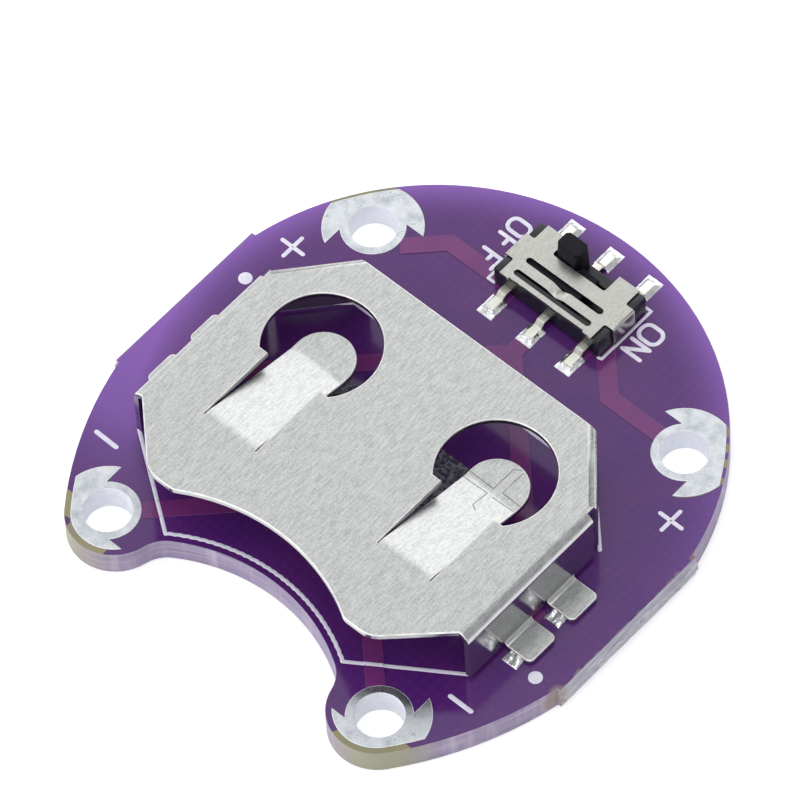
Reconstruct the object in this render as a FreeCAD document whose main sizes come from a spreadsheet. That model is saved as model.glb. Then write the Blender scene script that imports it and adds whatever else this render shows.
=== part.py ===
import FreeCAD, Part
import math
import os
import Sketcher

# Coin cell holder on a round sewable board: sheet-metal cell clip, slide switch, four sew tabs.
# Millimetres. The origin is on the board's underside, at the centre of its round back edge.
# +X runs from the OFF end of the switch to its ON end, +Y towards the switch, +Z up.

doc = FreeCAD.newDocument("coin_cell_holder")

SIZES = {
    # board
    "board_thickness": 1.5,
    "board_back_radius": 14.62,
    "flat_half_width": 14.53,
    "flat_back_y": 3.05,
    "flat_front_y": -6.85,
    "flat_front_step": 0.2,
    "side_arc_radius": 20.0,
    "lobe_x": 8.55,
    "lobe_y": -13.3,
    "lobe_radius": 2.5,
    "shoulder_radius": 1.8,
    "notch_radius": 10.0,
    "notch_centre_y": -21.25,
    "score_ridge_out": 0.18,
    "score_ridge_root": 0.8,
    "score_ridge_tip": 0.4,
    # sew tabs
    "plus_hole_inset": 2.157,
    "plus_hole_y": 7.19,
    "minus_hole_out": 0.32,
    "minus_hole_back": 0.2,
    "sew_hole_radius": 1.225,
    "plating": 0.06,
    "metal_height": 0.05,
    "ring_radius": 1.66,
    "petal_radius": 2.56,
    "hook_offset": 1.17,
    "plus_tab_inset": 0.18,
    "minus_tab_inset": 0.32,
    # copper under the mask
    "track_height": 0.035,
    "track_half": 0.48,
    "left_track_y": 8.95,
    "left_track_out": 1.78,
    "right_track_y": 9.22,
    "right_track_lead": 12.53,
    "fork_lead": 6.08,
    "fork_end_x": 10.6,
    "minus_track_lead": 4.78,
    "cell_pad_half": 5.4,
    "cell_pad_back_y": -0.32,
    "cell_pad_front_y": -7.6,
    # cell clip
    "clip_height": 3.75,
    "clip_sheet": 0.3,
    "clip_half_width": 10.87,
    "clip_bend_inside": 0.3,
    "stop_bend_inside": 0.15,
    "clip_back_y": 3.69,
    "clip_back_half": 7.7,
    "clip_corner_x": 10.61,
    "clip_corner_y": 0.38,
    "clip_corner_inset": 0.14,
    "clip_wall_back_y": -0.2,
    "clip_wall_front_y": -9.2,
    "clip_wall_gap": 0.25,
    "clip_front_y": -12.16,
    "clip_front_half": 7.17,
    "clip_front_radius": 1.5,
    "clip_kink_radius": 0.8,
    "clip_notch_radius": 10.65,
    "foot_length": 1.68,
    "foot_width": 1.95,
    "foot_back_y": -2.75,
    "foot_pitch": 3.06,
    "foot_corner": 0.3,
    # tongues that press on the cell
    "tongue_x": 5.64,
    "tongue_round_y": -1.34,
    "opening_radius": 3.02,
    "opening_front_y": -3.36,
    "slot_half": 1.69,
    "slot_front_y": -7.95,
    "tongue_half": 1.65,
    "tongue_drop": 1.3,
    "tongue_flat_y": -1.65,
    "tongue_root_inside": 2.2,
    "tongue_bend_inside": 1.2,
    # clip solder
    "clip_pad_inner_x": 11.2,
    "clip_pad_outer_x": 12.15,
    "clip_pad_front": 0.58,
    "clip_solder_rise": 0.22,
    "clip_solder_lip": 0.04,
    "clip_mound_crest": 0.12,
    # switch
    "switch_y": 10.36,
    "switch_pitch": 2.54,
    "body_half_x": 3.4,
    "body_half_y": 1.76,
    "body_standoff": 0.1,
    "floor_height": 0.45,
    "cover_height": 1.45,
    "cover_sheet": 0.15,
    "cavity_half_x": 2.78,
    "cavity_half_y": 1.15,
    "sill_height": 0.72,
    "corner_height": 1.35,
    "peg_x": 1.5,
    "peg_radius": 0.4,
    "peg_length": 0.8,
    "peg_clearance": 0.05,
    "cover_half_x": 2.98,
    "cover_half_y": 1.82,
    "cover_lip": 0.1,
    "cover_lip_half": 2.4,
    "cover_tab_half": 0.78,
    "cover_tab_foot": 0.25,
    "cover_clearance": 0.02,
    "cover_root_radius": 0.12,
    "cover_notch_radius": 0.14,
    "cover_slot_half": 2.46,
    "cover_slot_width": 0.36,
    "spring_y": 9.555,
    "spring_half": 0.275,
    "spring_dip": 0.25,
    "spring_dip_half": 0.55,
    # slider
    "slider_travel": 1.7,
    "slider_half_x": 1.85,
    "slider_fit": 0.05,
    "slider_under": 0.8,
    "knob_half_x": 0.77,
    "knob_end_gap": 0.06,
    "knob_front_y": 11.08,
    "knob_back_y": 12.14,
    "knob_height": 2.47,
    "knob_corner": 0.2,
    "knob_draft": 3.0,
    "wiper_sheet": 0.1,
    "wiper_y": 0.88,
    "wiper_half_y": 0.2,
    "wiper_flat_x": 0.45,
    "wiper_bump_x": 1.27,
    "wiper_tip_x": 1.65,
    "wiper_tip_rise": 0.16,
    "wiper_fit": 0.02,
    # terminals and their solder
    "pin_half": 0.24,
    "pin_sheet": 0.15,
    "pin_toe": 3.16,
    "pin_heel": 2.42,
    "pin_knee": 2.18,
    "pin_mitre_share": 0.42,
    "contact_half": 0.6,
    "contact_inner": 0.62,
    "pad_half": 0.48,
    "pad_toe": 3.55,
    "pad_heel": 2.28,
    "solder_rise": 0.16,
    "solder_margin": 0.03,
    "solder_slope": 40.0,
}

sheet = doc.addObject("Spreadsheet::Sheet", "Sheet")
for row, (alias, number) in enumerate(SIZES.items(), start=1):
    sheet.set(f"A{row}", alias)
    sheet.set(f"B{row}", str(number))
    sheet.setAlias(f"B{row}", alias)
doc.recompute()


class Dim:
    """A length worked out from the sheet: its number, and the text that binds an object to it."""

    def __init__(self, number, text=None):
        self.number = float(number)
        self.text = text if text else repr(float(number))

    def join(self, other, sign, number):
        return Dim(number, f"({self.text} {sign} {other.text})")

    def __add__(self, other):
        other = dim(other)
        return self.join(other, "+", self.number + other.number)

    def __sub__(self, other):
        other = dim(other)
        return self.join(other, "-", self.number - other.number)

    def __mul__(self, other):
        other = dim(other)
        return self.join(other, "*", self.number * other.number)

    def __truediv__(self, other):
        other = dim(other)
        return self.join(other, "/", self.number / other.number)

    def __neg__(self):
        return dim(0) - self

    def __radd__(self, other):
        return dim(other) + self

    def __rsub__(self, other):
        return dim(other) - self

    def __rmul__(self, other):
        return dim(other) * self


def dim(value):
    """Numbers and names of sheet cells both become a Dim."""
    if isinstance(value, Dim):
        return value
    if isinstance(value, str):
        return Dim(SIZES[value], f"Sheet.{value}")
    return Dim(value)


def root(value):
    """Square root of a Dim."""
    return Dim(math.sqrt(value.number), f"sqrt({value.text})")


def bind(target, path, value):
    """Bind one property of an object to a Dim."""
    target.setExpression(path, dim(value).text)


# Sketch helpers

PLANES = {"XY": "XY_Plane", "XZ": "XZ_Plane", "YZ": "YZ_Plane"}


def new_body(name):
    return doc.addObject("PartDesign::Body", name)


def new_sketch(body, name, plane="XY", offset=0.0, turn=None):
    """A sketch on an origin plane, moved along the plane's normal and turned about its upright axis."""
    sketch = body.newObject("Sketcher::SketchObject", name)
    role = PLANES[plane]
    origin_plane = next(f for f in body.Origin.OriginFeatures if f.Role == role)
    sketch.AttachmentSupport = (origin_plane, [""])
    sketch.MapMode = "FlatFace"
    offset = dim(offset)
    rotation = FreeCAD.Rotation(FreeCAD.Vector(0, 1, 0), turn.number if turn else 0.0)
    shift = FreeCAD.Vector(0, 0, offset.number)
    if turn:
        # the shift is along the turned plane's own normal
        shift = rotation.multVec(shift)
    sketch.AttachmentOffset = FreeCAD.Placement(shift, rotation)
    if not turn:
        bind(sketch, "AttachmentOffset.Base.z", offset)
    return sketch


def vector(point):
    return FreeCAD.Vector(dim(point[0]).number, dim(point[1]).number, 0)


def size_constraint(sketch, kind, *arguments, value):
    """Add a driving constraint and bind it to the sheet."""
    value = dim(value)
    index = sketch.addConstraint(Sketcher.Constraint(kind, *arguments, value.number))
    bind(sketch, f"Constraints[{index}]", value)


def pin_point(sketch, geometry, end, point):
    """Hold one point of a sketch at sheet coordinates."""
    for kind, axis, value in (("DistanceX", -2, dim(point[0])), ("DistanceY", -1, dim(point[1]))):
        if abs(value.number) < 1e-9:
            sketch.addConstraint(Sketcher.Constraint("PointOnObject", geometry, end, axis))
        else:
            size_constraint(sketch, kind, -1, 1, geometry, end, value=value)


def arc_between(start, end, radius, bulge):
    """Arc from start to end. bulge is +1 where the arc bows to the right of the way it runs."""
    chord = end - start
    middle = (start + end) * 0.5
    left = FreeCAD.Vector(-chord.y, chord.x, 0).normalize()
    inside = math.sqrt(max(radius ** 2 - (chord.Length / 2) ** 2, 0.0))
    centre = middle + left * (inside * bulge)
    crown = centre - left * (radius * bulge)
    return Part.Arc(start, crown, end) if bulge > 0 else Part.Arc(end, crown, start)


def outline(sketch, corners, arcs=None):
    """Closed outline. arcs maps an edge's number to (radius, bulge); every other edge is straight."""
    arcs = arcs or {}
    count = len(corners)
    first = sketch.GeometryCount
    ends = []
    for number in range(count):
        start = vector(corners[number])
        end = vector(corners[(number + 1) % count])
        if number in arcs:
            radius, bulge = arcs[number]
            arc = arc_between(start, end, dim(radius).number, bulge)
            index = sketch.addGeometry(arc, False)
            size_constraint(sketch, "Radius", index, value=radius)
            ends.append((1, 2) if bulge > 0 else (2, 1))
        else:
            sketch.addGeometry(Part.LineSegment(start, end), False)
            ends.append((1, 2))
    for number in range(count):
        following = (number + 1) % count
        sketch.addConstraint(Sketcher.Constraint(
            "Coincident", first + number, ends[number][1], first + following, ends[following][0]))
        pin_point(sketch, first + number, ends[number][0], corners[number])


def rectangle(sketch, low_x, high_x, low_y, high_y):
    outline(sketch, [(low_x, low_y), (high_x, low_y), (high_x, high_y), (low_x, high_y)])


def circle(sketch, x, y, radius):
    index = sketch.addGeometry(Part.Circle(vector((x, y)), FreeCAD.Vector(0, 0, 1), dim(radius).number), False)
    size_constraint(sketch, "Radius", index, value=radius)
    pin_point(sketch, index, 3, (x, y))


def pad(body, sketch, length):
    feature = body.newObject("PartDesign::Pad", sketch.Name + "_pad")
    feature.Profile = sketch
    feature.Length = dim(length).number
    bind(feature, "Length", length)
    sketch.Visibility = False
    return feature


def pocket(body, sketch, depth, reverse=False):
    """Cut below the sketch, or above it with reverse. Raises if nothing was cut."""
    doc.recompute()
    before = body.Shape.Volume
    feature = body.newObject("PartDesign::Pocket", sketch.Name + "_pocket")
    feature.Profile = sketch
    feature.Length = dim(depth).number
    bind(feature, "Length", depth)
    feature.Reversed = reverse
    doc.recompute()
    if body.Shape.Volume > before - 1e-6:
        raise RuntimeError(f"{feature.Name} cuts nothing")
    return feature


def mirror_x(body, features):
    """Repeat features on the other side of the middle plane."""
    mirrored = body.newObject("PartDesign::Mirrored", body.Name + "_mirrored")
    mirrored.Originals = features
    plane = next(f for f in body.Origin.OriginFeatures if f.Role == "YZ_Plane")
    mirrored.MirrorPlane = (plane, [""])
    body.Tip = mirrored
    return mirrored


def cylinder(name, x, y, z, radius, height):
    piece = doc.addObject("Part::Cylinder", name)
    bind(piece, "Radius", radius)
    bind(piece, "Height", height)
    bind(piece, "Placement.Base.x", x)
    bind(piece, "Placement.Base.y", y)
    bind(piece, "Placement.Base.z", z)
    return piece


def box(name, low, high):
    piece = doc.addObject("Part::Box", name)
    for axis, side, start, end in zip("xyz", ("Length", "Width", "Height"), low, high):
        bind(piece, side, dim(end) - start)
        bind(piece, f"Placement.Base.{axis}", start)
    return piece


def boolean(kind, name, base, tool):
    result = doc.addObject(f"Part::{kind}", name)
    result.Base = base
    result.Tool = tool
    return result


pieces = {}


def keep(label, piece):
    piece.Label = label
    pieces[label] = piece


top = dim("board_thickness")


# Board outline: round back, two snapped-off flats, side arcs that run into the lobes round the minus
# holes, and a thumb notch between the lobes

def meeting_point(centre_a, reach_a, centre_b, reach_b, side):
    """The point at the two reaches from the two centres, on the left (+1) or right (-1) of a to b."""
    gap = centre_b - centre_a
    along = (reach_a ** 2 - reach_b ** 2 + gap.Length ** 2) / (2 * gap.Length)
    across = math.sqrt(reach_a ** 2 - along ** 2)
    way = FreeCAD.Vector(gap).normalize()
    return centre_a + way * along + FreeCAD.Vector(-way.y, way.x, 0) * (across * side)


def heading(start, end):
    return math.atan2(end.y - start.y, end.x - start.x)


def board_outline(sketch, inset=0.0):
    """The board's edge, or a line inside it by inset. Arcs that meet smoothly are held tangent."""
    inset = dim(inset)
    back = dim("board_back_radius") - inset
    flat = dim("flat_half_width") - inset
    back_y, front_y = dim("flat_back_y"), dim("flat_front_y")
    side_start = flat - "flat_front_step"
    side = dim("side_arc_radius") - inset
    lobe = dim("lobe_radius") - inset
    shoulder = dim("shoulder_radius") + inset
    notch = dim("notch_radius") + inset
    lobe_x, lobe_y, notch_y = dim("lobe_x"), dim("lobe_y"), dim("notch_centre_y")

    origin = FreeCAD.Vector(0, 0, 0)
    lobe_centre = vector((lobe_x, lobe_y))
    notch_centre = vector((0, notch_y))
    shoulder_centre = meeting_point(notch_centre, notch.number - shoulder.number,
                                    lobe_centre, shoulder.number + lobe.number, 1)
    side_corner = vector((side_start, front_y))
    side_centre = meeting_point(side_corner, side.number, lobe_centre, side.number - lobe.number, -1)
    back_angle = math.asin(back_y.number / back.number)

    def add_arc(centre, radius, start, end, mirrored):
        if mirrored:
            centre = FreeCAD.Vector(-centre.x, centre.y, 0)
            start, end = math.pi - end, math.pi - start
        ring = Part.Circle(centre, FreeCAD.Vector(0, 0, 1), radius.number)
        index = sketch.addGeometry(Part.ArcOfCircle(ring, start, end), False)
        size_constraint(sketch, "Radius", index, value=radius)
        return index

    def add_line(start, end, mirrored):
        if mirrored:
            start, end = FreeCAD.Vector(-start.x, start.y, 0), FreeCAD.Vector(-end.x, end.y, 0)
        return sketch.addGeometry(Part.LineSegment(start, end), False)

    back_arc = add_arc(origin, back, back_angle, math.pi - back_angle, False)
    sketch.addConstraint(Sketcher.Constraint("Coincident", back_arc, 3, -1, 1))
    notch_angle = heading(notch_centre, shoulder_centre)
    notch_arc = add_arc(notch_centre, notch, notch_angle, math.pi - notch_angle, False)
    pin_point(sketch, notch_arc, 3, (0, notch_y))

    circle_end = FreeCAD.Vector(back.number * math.cos(back_angle), back_y.number, 0)
    flat_back = vector((flat, back_y))
    flat_front = vector((flat, front_y))
    lobe_angle = heading(side_centre, lobe_centre)
    for mirrored in (False, True):
        sign = -1 if mirrored else 1
        near, far = (2, 1) if mirrored else (1, 2)
        step_back = add_line(circle_end, flat_back, mirrored)
        flat_line = add_line(flat_back, flat_front, mirrored)
        step_front = add_line(flat_front, side_corner, mirrored)
        side_arc = add_arc(side_centre, side, lobe_angle, heading(side_centre, side_corner), mirrored)
        lobe_arc = add_arc(lobe_centre, lobe, heading(lobe_centre, shoulder_centre),
                           lobe_angle + 2 * math.pi, mirrored)
        shoulder_arc = add_arc(shoulder_centre, shoulder, heading(shoulder_centre, lobe_centre),
                               heading(notch_centre, shoulder_centre), mirrored)
        sketch.addConstraint([
            Sketcher.Constraint("Coincident", back_arc, near, step_back, 1),
            Sketcher.Constraint("Coincident", step_back, 2, flat_line, 1),
            Sketcher.Constraint("Coincident", flat_line, 2, step_front, 1),
            Sketcher.Constraint("Coincident", step_front, 2, side_arc, far),
            Sketcher.Constraint("Horizontal", step_back),
            Sketcher.Constraint("Tangent", side_arc, near, lobe_arc, far),
            Sketcher.Constraint("Tangent", lobe_arc, near, shoulder_arc, near),
            Sketcher.Constraint("Tangent", shoulder_arc, far, notch_arc, near),
        ])
        pin_point(sketch, flat_line, 1, (flat * sign, back_y))
        pin_point(sketch, flat_line, 2, (flat * sign, front_y))
        pin_point(sketch, step_front, 2, (side_start * sign, front_y))
        pin_point(sketch, lobe_arc, 3, (lobe_x * sign, lobe_y))


# The plus holes are at one distance from the round edge, and the minus holes beside the lobes' centres
plus_reach = dim("board_back_radius") - "plus_hole_inset"
plus_x = root(plus_reach * plus_reach - dim("plus_hole_y") * "plus_hole_y")
plus_y = dim("plus_hole_y")
minus_x = dim("lobe_x") + "minus_hole_out"
minus_y = dim("lobe_y") - "minus_hole_back"
HOLES = {
    "plus_left": (-plus_x, plus_y),
    "plus_right": (plus_x, plus_y),
    "minus_left": (-minus_x, minus_y),
    "minus_right": (minus_x, minus_y),
}

board = new_body("board_body")
board_sketch = new_sketch(board, "board_edge")
board_outline(board_sketch)
board_pad = pad(board, board_sketch, "board_thickness")

# The flats were scored from both faces and snapped, which leaves a ridge half way up the edge
ridges = []
ridge_middle = dim("board_thickness") / 2
for sign, name in ((1, "right"), (-1, "left")):
    ridge = new_sketch(board, f"score_ridge_{name}", "XZ", -dim("flat_back_y"))
    buried = (dim("flat_half_width") - "score_ridge_out") * sign
    edge = dim("flat_half_width") * sign
    tip = (dim("flat_half_width") + "score_ridge_out") * sign
    corners = [
        (buried, ridge_middle - dim("score_ridge_root") / 2),
        (edge, ridge_middle - dim("score_ridge_root") / 2),
        (tip, ridge_middle - dim("score_ridge_tip") / 2),
        (tip, ridge_middle + dim("score_ridge_tip") / 2),
        (edge, ridge_middle + dim("score_ridge_root") / 2),
        (buried, ridge_middle + dim("score_ridge_root") / 2),
    ]
    outline(ridge, corners)
    pad(board, ridge, dim("flat_back_y") - "flat_front_y")

peg_holes = new_sketch(board, "board_peg_holes", "XY", top)
for sign in (-1, 1):
    circle(peg_holes, dim("peg_x") * sign, "switch_y", dim("peg_radius") + "peg_clearance")
pocket(board, peg_holes, top)


# Sew tabs: a plated barrel with a ring and a hooked petal on both faces. The metal stands a little proud
# on top, and is flush with the underside.

metal_top = top + "metal_height"


def inset_plate(name, inset):
    """The board's outline drawn back from its edge, tall enough to trim every petal."""
    body = new_body(name)
    sketch = new_sketch(body, name + "_edge", "XY", 0)
    board_outline(sketch, inset)
    pad(body, sketch, metal_top)
    return body


def sew_tab(name, hole, trim, quadrant):
    """quadrant gives the signs of the corner, seen from the hole, that the hooked petal leaves open.
    Returns the metal without its bore, and the finished tab."""
    x, y = hole
    open_x, open_y = quadrant
    petal = cylinder(name + "_petal", x, y, 0, "petal_radius", metal_top)
    petal = boolean("Common", name + "_trimmed", petal, trim)
    reach = dim("petal_radius") * 2
    edge_x = x - dim("hook_offset") * open_x
    edge_y = y - dim("hook_offset") * open_y
    low_x = edge_x if open_x > 0 else edge_x - reach
    low_y = edge_y if open_y > 0 else edge_y - reach
    opened = box(name + "_quadrant", (low_x, low_y, 0), (low_x + reach, low_y + reach, metal_top))
    petal = boolean("Cut", name + "_hooks", petal, opened)
    ring = cylinder(name + "_ring", x, y, 0, "ring_radius", metal_top)
    faces = boolean("Fuse", name + "_faces", petal, ring)
    # the board's own thickness is taken out, so that only the two faces are left
    laminate = box(name + "_laminate", (x - reach, y - reach, "metal_height"), (x + reach, y + reach, top))
    faces = boolean("Cut", name + "_both_faces", faces, laminate)
    barrel = cylinder(name + "_barrel", x, y, 0, dim("sew_hole_radius") + "plating", top)
    metal = boolean("Fuse", name + "_metal", faces, barrel)
    bore = cylinder(name + "_bore", x, y, 0, "sew_hole_radius", metal_top)
    return metal, boolean("Cut", name, metal, bore)


plus_trim = inset_plate("plus_trim", "plus_tab_inset")
minus_trim = inset_plate("minus_trim", "minus_tab_inset")
QUADRANTS = {"plus_left": (1, -1), "plus_right": (-1, -1), "minus_left": (1, 1), "minus_right": (-1, 1)}
drilled = board
tab_metal = {}
for place, hole in HOLES.items():
    trim = plus_trim if place.startswith("plus") else minus_trim
    metal, tab = sew_tab("tab_" + place, hole, trim, QUADRANTS[place])
    drilled = boolean("Cut", "board_round_" + place, drilled, metal)
    tab_metal[place] = metal
    keep("sew_tab_" + place, tab)
keep("circuit_board", drilled)


# Copper under the mask: tracks of one width with mitred bends

def track_sides(path):
    """The two long sides of a track along a path of points, mitred where it bends."""
    spots = [vector(point) for point in path]
    ways = [(after - before).normalize() for before, after in zip(spots, spots[1:])]
    sides = {1: [], -1: []}
    for number, point in enumerate(path):
        before = ways[max(number - 1, 0)]
        after = ways[min(number, len(ways) - 1)]
        across = FreeCAD.Vector(-before.y - after.y, before.x + after.x, 0)
        mitre = across * (2 / across.Length ** 2)
        for sign in sides:
            shift_x = dim("track_half") * round(mitre.x * sign, 6)
            shift_y = dim("track_half") * round(mitre.y * sign, 6)
            sides[sign].append((dim(point[0]) + shift_x, dim(point[1]) + shift_y))
    return sides[-1] + sides[1][::-1]


def track(name, path):
    body = new_body(name)
    sketch = new_sketch(body, name + "_path", "XY", top)
    outline(sketch, track_sides(path))
    pad(body, sketch, "track_height")
    return body


front_pad_y = dim("switch_y") - "pad_heel"
front_toe_y = dim("switch_y") - "pad_toe"
for sign, place in ((-1, "left"), (1, "right")):
    hole = HOLES["plus_" + place]
    pin_x = dim("switch_pitch") * sign
    if place == "left":
        level = dim("left_track_y")
        start = (hole[0] + "left_track_out", hole[1])
        path = [start, (start[0] + level - start[1], level), (pin_x, level), (pin_x, front_pad_y)]
    else:
        level = dim("right_track_y")
        path = [(pin_x, front_pad_y), (pin_x, level), (dim("right_track_lead") - level, level),
                (dim("right_track_lead") - hole[1], hole[1]), (hole[0] - "sew_hole_radius", hole[1])]
    copper = track("copper_plus_" + place, path)
    keep("track_plus_" + place, boolean("Cut", "track_plus_" + place, copper, tab_metal["plus_" + place]))

# One piece of copper forks from the switch's middle terminal to the clip's pads on both sides
arms = []
for sign, place in ((-1, "left"), (1, "right")):
    path = [(0, front_toe_y), (0, "fork_lead"), (dim("fork_end_x") * sign, dim("fork_lead") - "fork_end_x"),
            (dim("clip_pad_inner_x") * sign, dim("fork_lead") - "fork_end_x")]
    arms.append(track("fork_" + place, path))
keep("track_switch_to_clip", boolean("Fuse", "track_switch_to_clip", arms[0], arms[1]))

cell_pad = box("cell_negative_pad", (-dim("cell_pad_half"), "cell_pad_front_y", top),
               ("cell_pad_half", "cell_pad_back_y", top + "track_height"))
keep("cell_negative_pad", cell_pad)

for sign, place in ((-1, "left"), (1, "right")):
    start_x = minus_x - "sew_hole_radius"
    end_x = dim("cell_pad_front_y") + "minus_track_lead" - "track_half"
    path = [(start_x * sign, -start_x - "minus_track_lead"), (-end_x * sign, end_x - "minus_track_lead")]
    copper = track("copper_minus_" + place, path)
    copper = boolean("Cut", "track_minus_outer_" + place, copper, tab_metal["minus_" + place])
    pad_cut = box("pad_cut_" + place, (-dim("cell_pad_half"), "cell_pad_front_y", top),
                  ("cell_pad_half", "cell_pad_back_y", top + "metal_height"))
    keep("track_minus_" + place, boolean("Cut", "track_minus_" + place, copper, pad_cut))


# Cell clip: one bent sheet with a top plate, two side walls, two stop walls on the back corners, four feet
# and two tongues cut free of the plate

def half_outline(sketch, corners, arcs, sign):
    """Closed outline on the right (+1), or the same mirrored to the left (-1)."""
    turned = {edge: (radius, bulge * sign) for edge, (radius, bulge) in arcs.items()}
    outline(sketch, [(dim(x) * sign, y) for x, y in corners], turned)


def bent_edge(face, inner, low, high):
    """Profile of a sheet that runs flat to a bend and then down: face is its outer side."""
    face = dim(face)
    inner = dim(inner)
    outer = inner + "clip_sheet"
    inside = face - "clip_sheet"
    corners = [
        (face - outer - "clip_sheet", high - "clip_sheet"),
        (face - outer, high - "clip_sheet"),
        (inside, high - outer),
        (inside, low),
        (face, low),
        (face, high - outer),
        (face - outer, high),
        (face - outer - "clip_sheet", high),
    ]
    return corners, {1: (inner, -1), 5: (outer, 1)}


plate_top = top + "clip_height"
plate_low = plate_top - "clip_sheet"
wall_low = top + "clip_wall_gap"
bend_width = dim("clip_bend_inside") + "clip_sheet"
stop_bend_width = dim("stop_bend_inside") + "clip_sheet"
flat_x = dim("clip_half_width") - bend_width

# the back corners: how far the slanting face is from the origin, and where it starts and ends along its run
slant_x = dim("clip_corner_x") - "clip_back_half"
slant_y = dim("clip_back_y") - "clip_corner_y"
slant_length = root(slant_x * slant_x + slant_y * slant_y)
normal_x = slant_y / slant_length
normal_y = slant_x / slant_length
slant_reach = normal_x * "clip_back_half" + normal_y * "clip_back_y"
slant_start = normal_y * "clip_back_half" - normal_x * "clip_back_y"
stop_inner_x = dim("clip_corner_x") - normal_x * stop_bend_width
stop_inner_y = dim("clip_corner_y") - normal_y * stop_bend_width
back_flat_x = dim("clip_back_half") - stop_bend_width / normal_x
plate_corner_x = dim("clip_corner_x") - normal_x * "clip_corner_inset"
plate_corner_y = dim("clip_corner_y") - normal_y * "clip_corner_inset"

# the front corners are rounded, and so are the two kinks where the thumb notch starts
slope_x = flat_x - "clip_front_half"
slope_y = dim("clip_wall_front_y") - "clip_front_y"
slope_length = root(slope_x * slope_x + slope_y * slope_y)
tangent = dim("clip_front_radius") * (dim(1) - slope_x / slope_length) / (slope_y / slope_length)
round_end = (dim("clip_front_half") + tangent * slope_x / slope_length,
             dim("clip_front_y") + tangent * slope_y / slope_length)
round_start = (dim("clip_front_half") - tangent, dim("clip_front_y"))
kink_reach = dim("clip_notch_radius") + "clip_kink_radius"
kink_up = dim("clip_front_y") + "clip_kink_radius" - "notch_centre_y"
kink_x = root(kink_reach * kink_reach - kink_up * kink_up)
shrink = dim("clip_notch_radius") / kink_reach
notch_end = (kink_x * shrink, dim("notch_centre_y") + kink_up * shrink)

clip = new_body("clip_body")
right_side = [
    notch_end,
    (kink_x, dim("clip_front_y")),
    round_start,
    round_end,
    (flat_x, dim("clip_wall_front_y")),
    (flat_x, dim("clip_wall_back_y")),
    (plate_corner_x, dim("clip_wall_back_y")),
    (plate_corner_x, plate_corner_y),
    (stop_inner_x, stop_inner_y),
    (back_flat_x, dim("clip_back_y")),
]
left_side = [(-x, y) for x, y in reversed(right_side)]
plate_arcs = {
    0: ("clip_kink_radius", 1),
    2: ("clip_front_radius", 1),
    16: ("clip_front_radius", 1),
    18: ("clip_kink_radius", 1),
    19: ("clip_notch_radius", -1),
}
plate = new_sketch(clip, "clip_plate", "XY", plate_low)
outline(plate, right_side + left_side, plate_arcs)
pad(clip, plate, "clip_sheet")

wall_run = dim("clip_wall_back_y") - "clip_wall_front_y"
foot_low = top + "metal_height"
foot_high = foot_low + "clip_sheet"
outer_bend = bend_width
for sign, place in ((1, "right"), (-1, "left")):
    wall = new_sketch(clip, "clip_wall_" + place, "XZ", -dim("clip_wall_back_y"))
    corners, arcs = bent_edge("clip_half_width", "clip_bend_inside", wall_low, plate_top)
    half_outline(wall, corners, arcs, sign)
    pad(clip, wall, wall_run)
    for number in (0, 1):
        middle_y = dim("foot_back_y") - dim("foot_pitch") * number
        foot = new_sketch(clip, f"clip_foot_{place}_{number + 1}", "XZ", -middle_y - dim("foot_width") / 2)
        inside = dim("clip_half_width") - "clip_sheet"
        turn_high = foot_low + outer_bend
        corners = [
            (inside, wall_low + 1),
            (inside, turn_high),
            (inside + outer_bend, foot_low),
            (dim("clip_half_width") + "foot_length", foot_low),
            (dim("clip_half_width") + "foot_length", foot_high),
            (inside + outer_bend, foot_high),
            (dim("clip_half_width"), turn_high),
            (dim("clip_half_width"), wall_low + 1),
        ]
        half_outline(foot, corners, {1: (outer_bend, 1), 5: ("clip_bend_inside", -1)}, sign)
        pad(clip, foot, "foot_width")

# the stop walls that the cell is pushed against
turn_angle = math.degrees(math.atan2(normal_y.number, normal_x.number))
overrun = stop_bend_width * normal_y / normal_x
for sign, place in ((1, "right"), (-1, "left")):
    angle = turn_angle if sign > 0 else 180.0 - turn_angle
    start = slant_start - overrun if sign > 0 else -slant_start - slant_length
    stop = new_sketch(clip, "clip_stop_" + place, "XZ", start, Dim(angle))
    corners, arcs = bent_edge(slant_reach, "stop_bend_inside", wall_low, plate_top)
    outline(stop, corners, arcs)
    pad(clip, stop, slant_length + overrun)
back_trim = new_sketch(clip, "clip_back_edge", "XY", wall_low)
rectangle(back_trim, -dim("clip_corner_x"), "clip_corner_x", "clip_back_y", dim("clip_back_y") + 1)
pocket(clip, back_trim, plate_top - wall_low, reverse=True)

# openings and tongues
chord = root(dim("opening_radius") * "opening_radius"
             - (dim("tongue_round_y") - "opening_front_y") * (dim("tongue_round_y") - "opening_front_y"))
tip_low = plate_low - "tongue_drop"

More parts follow.
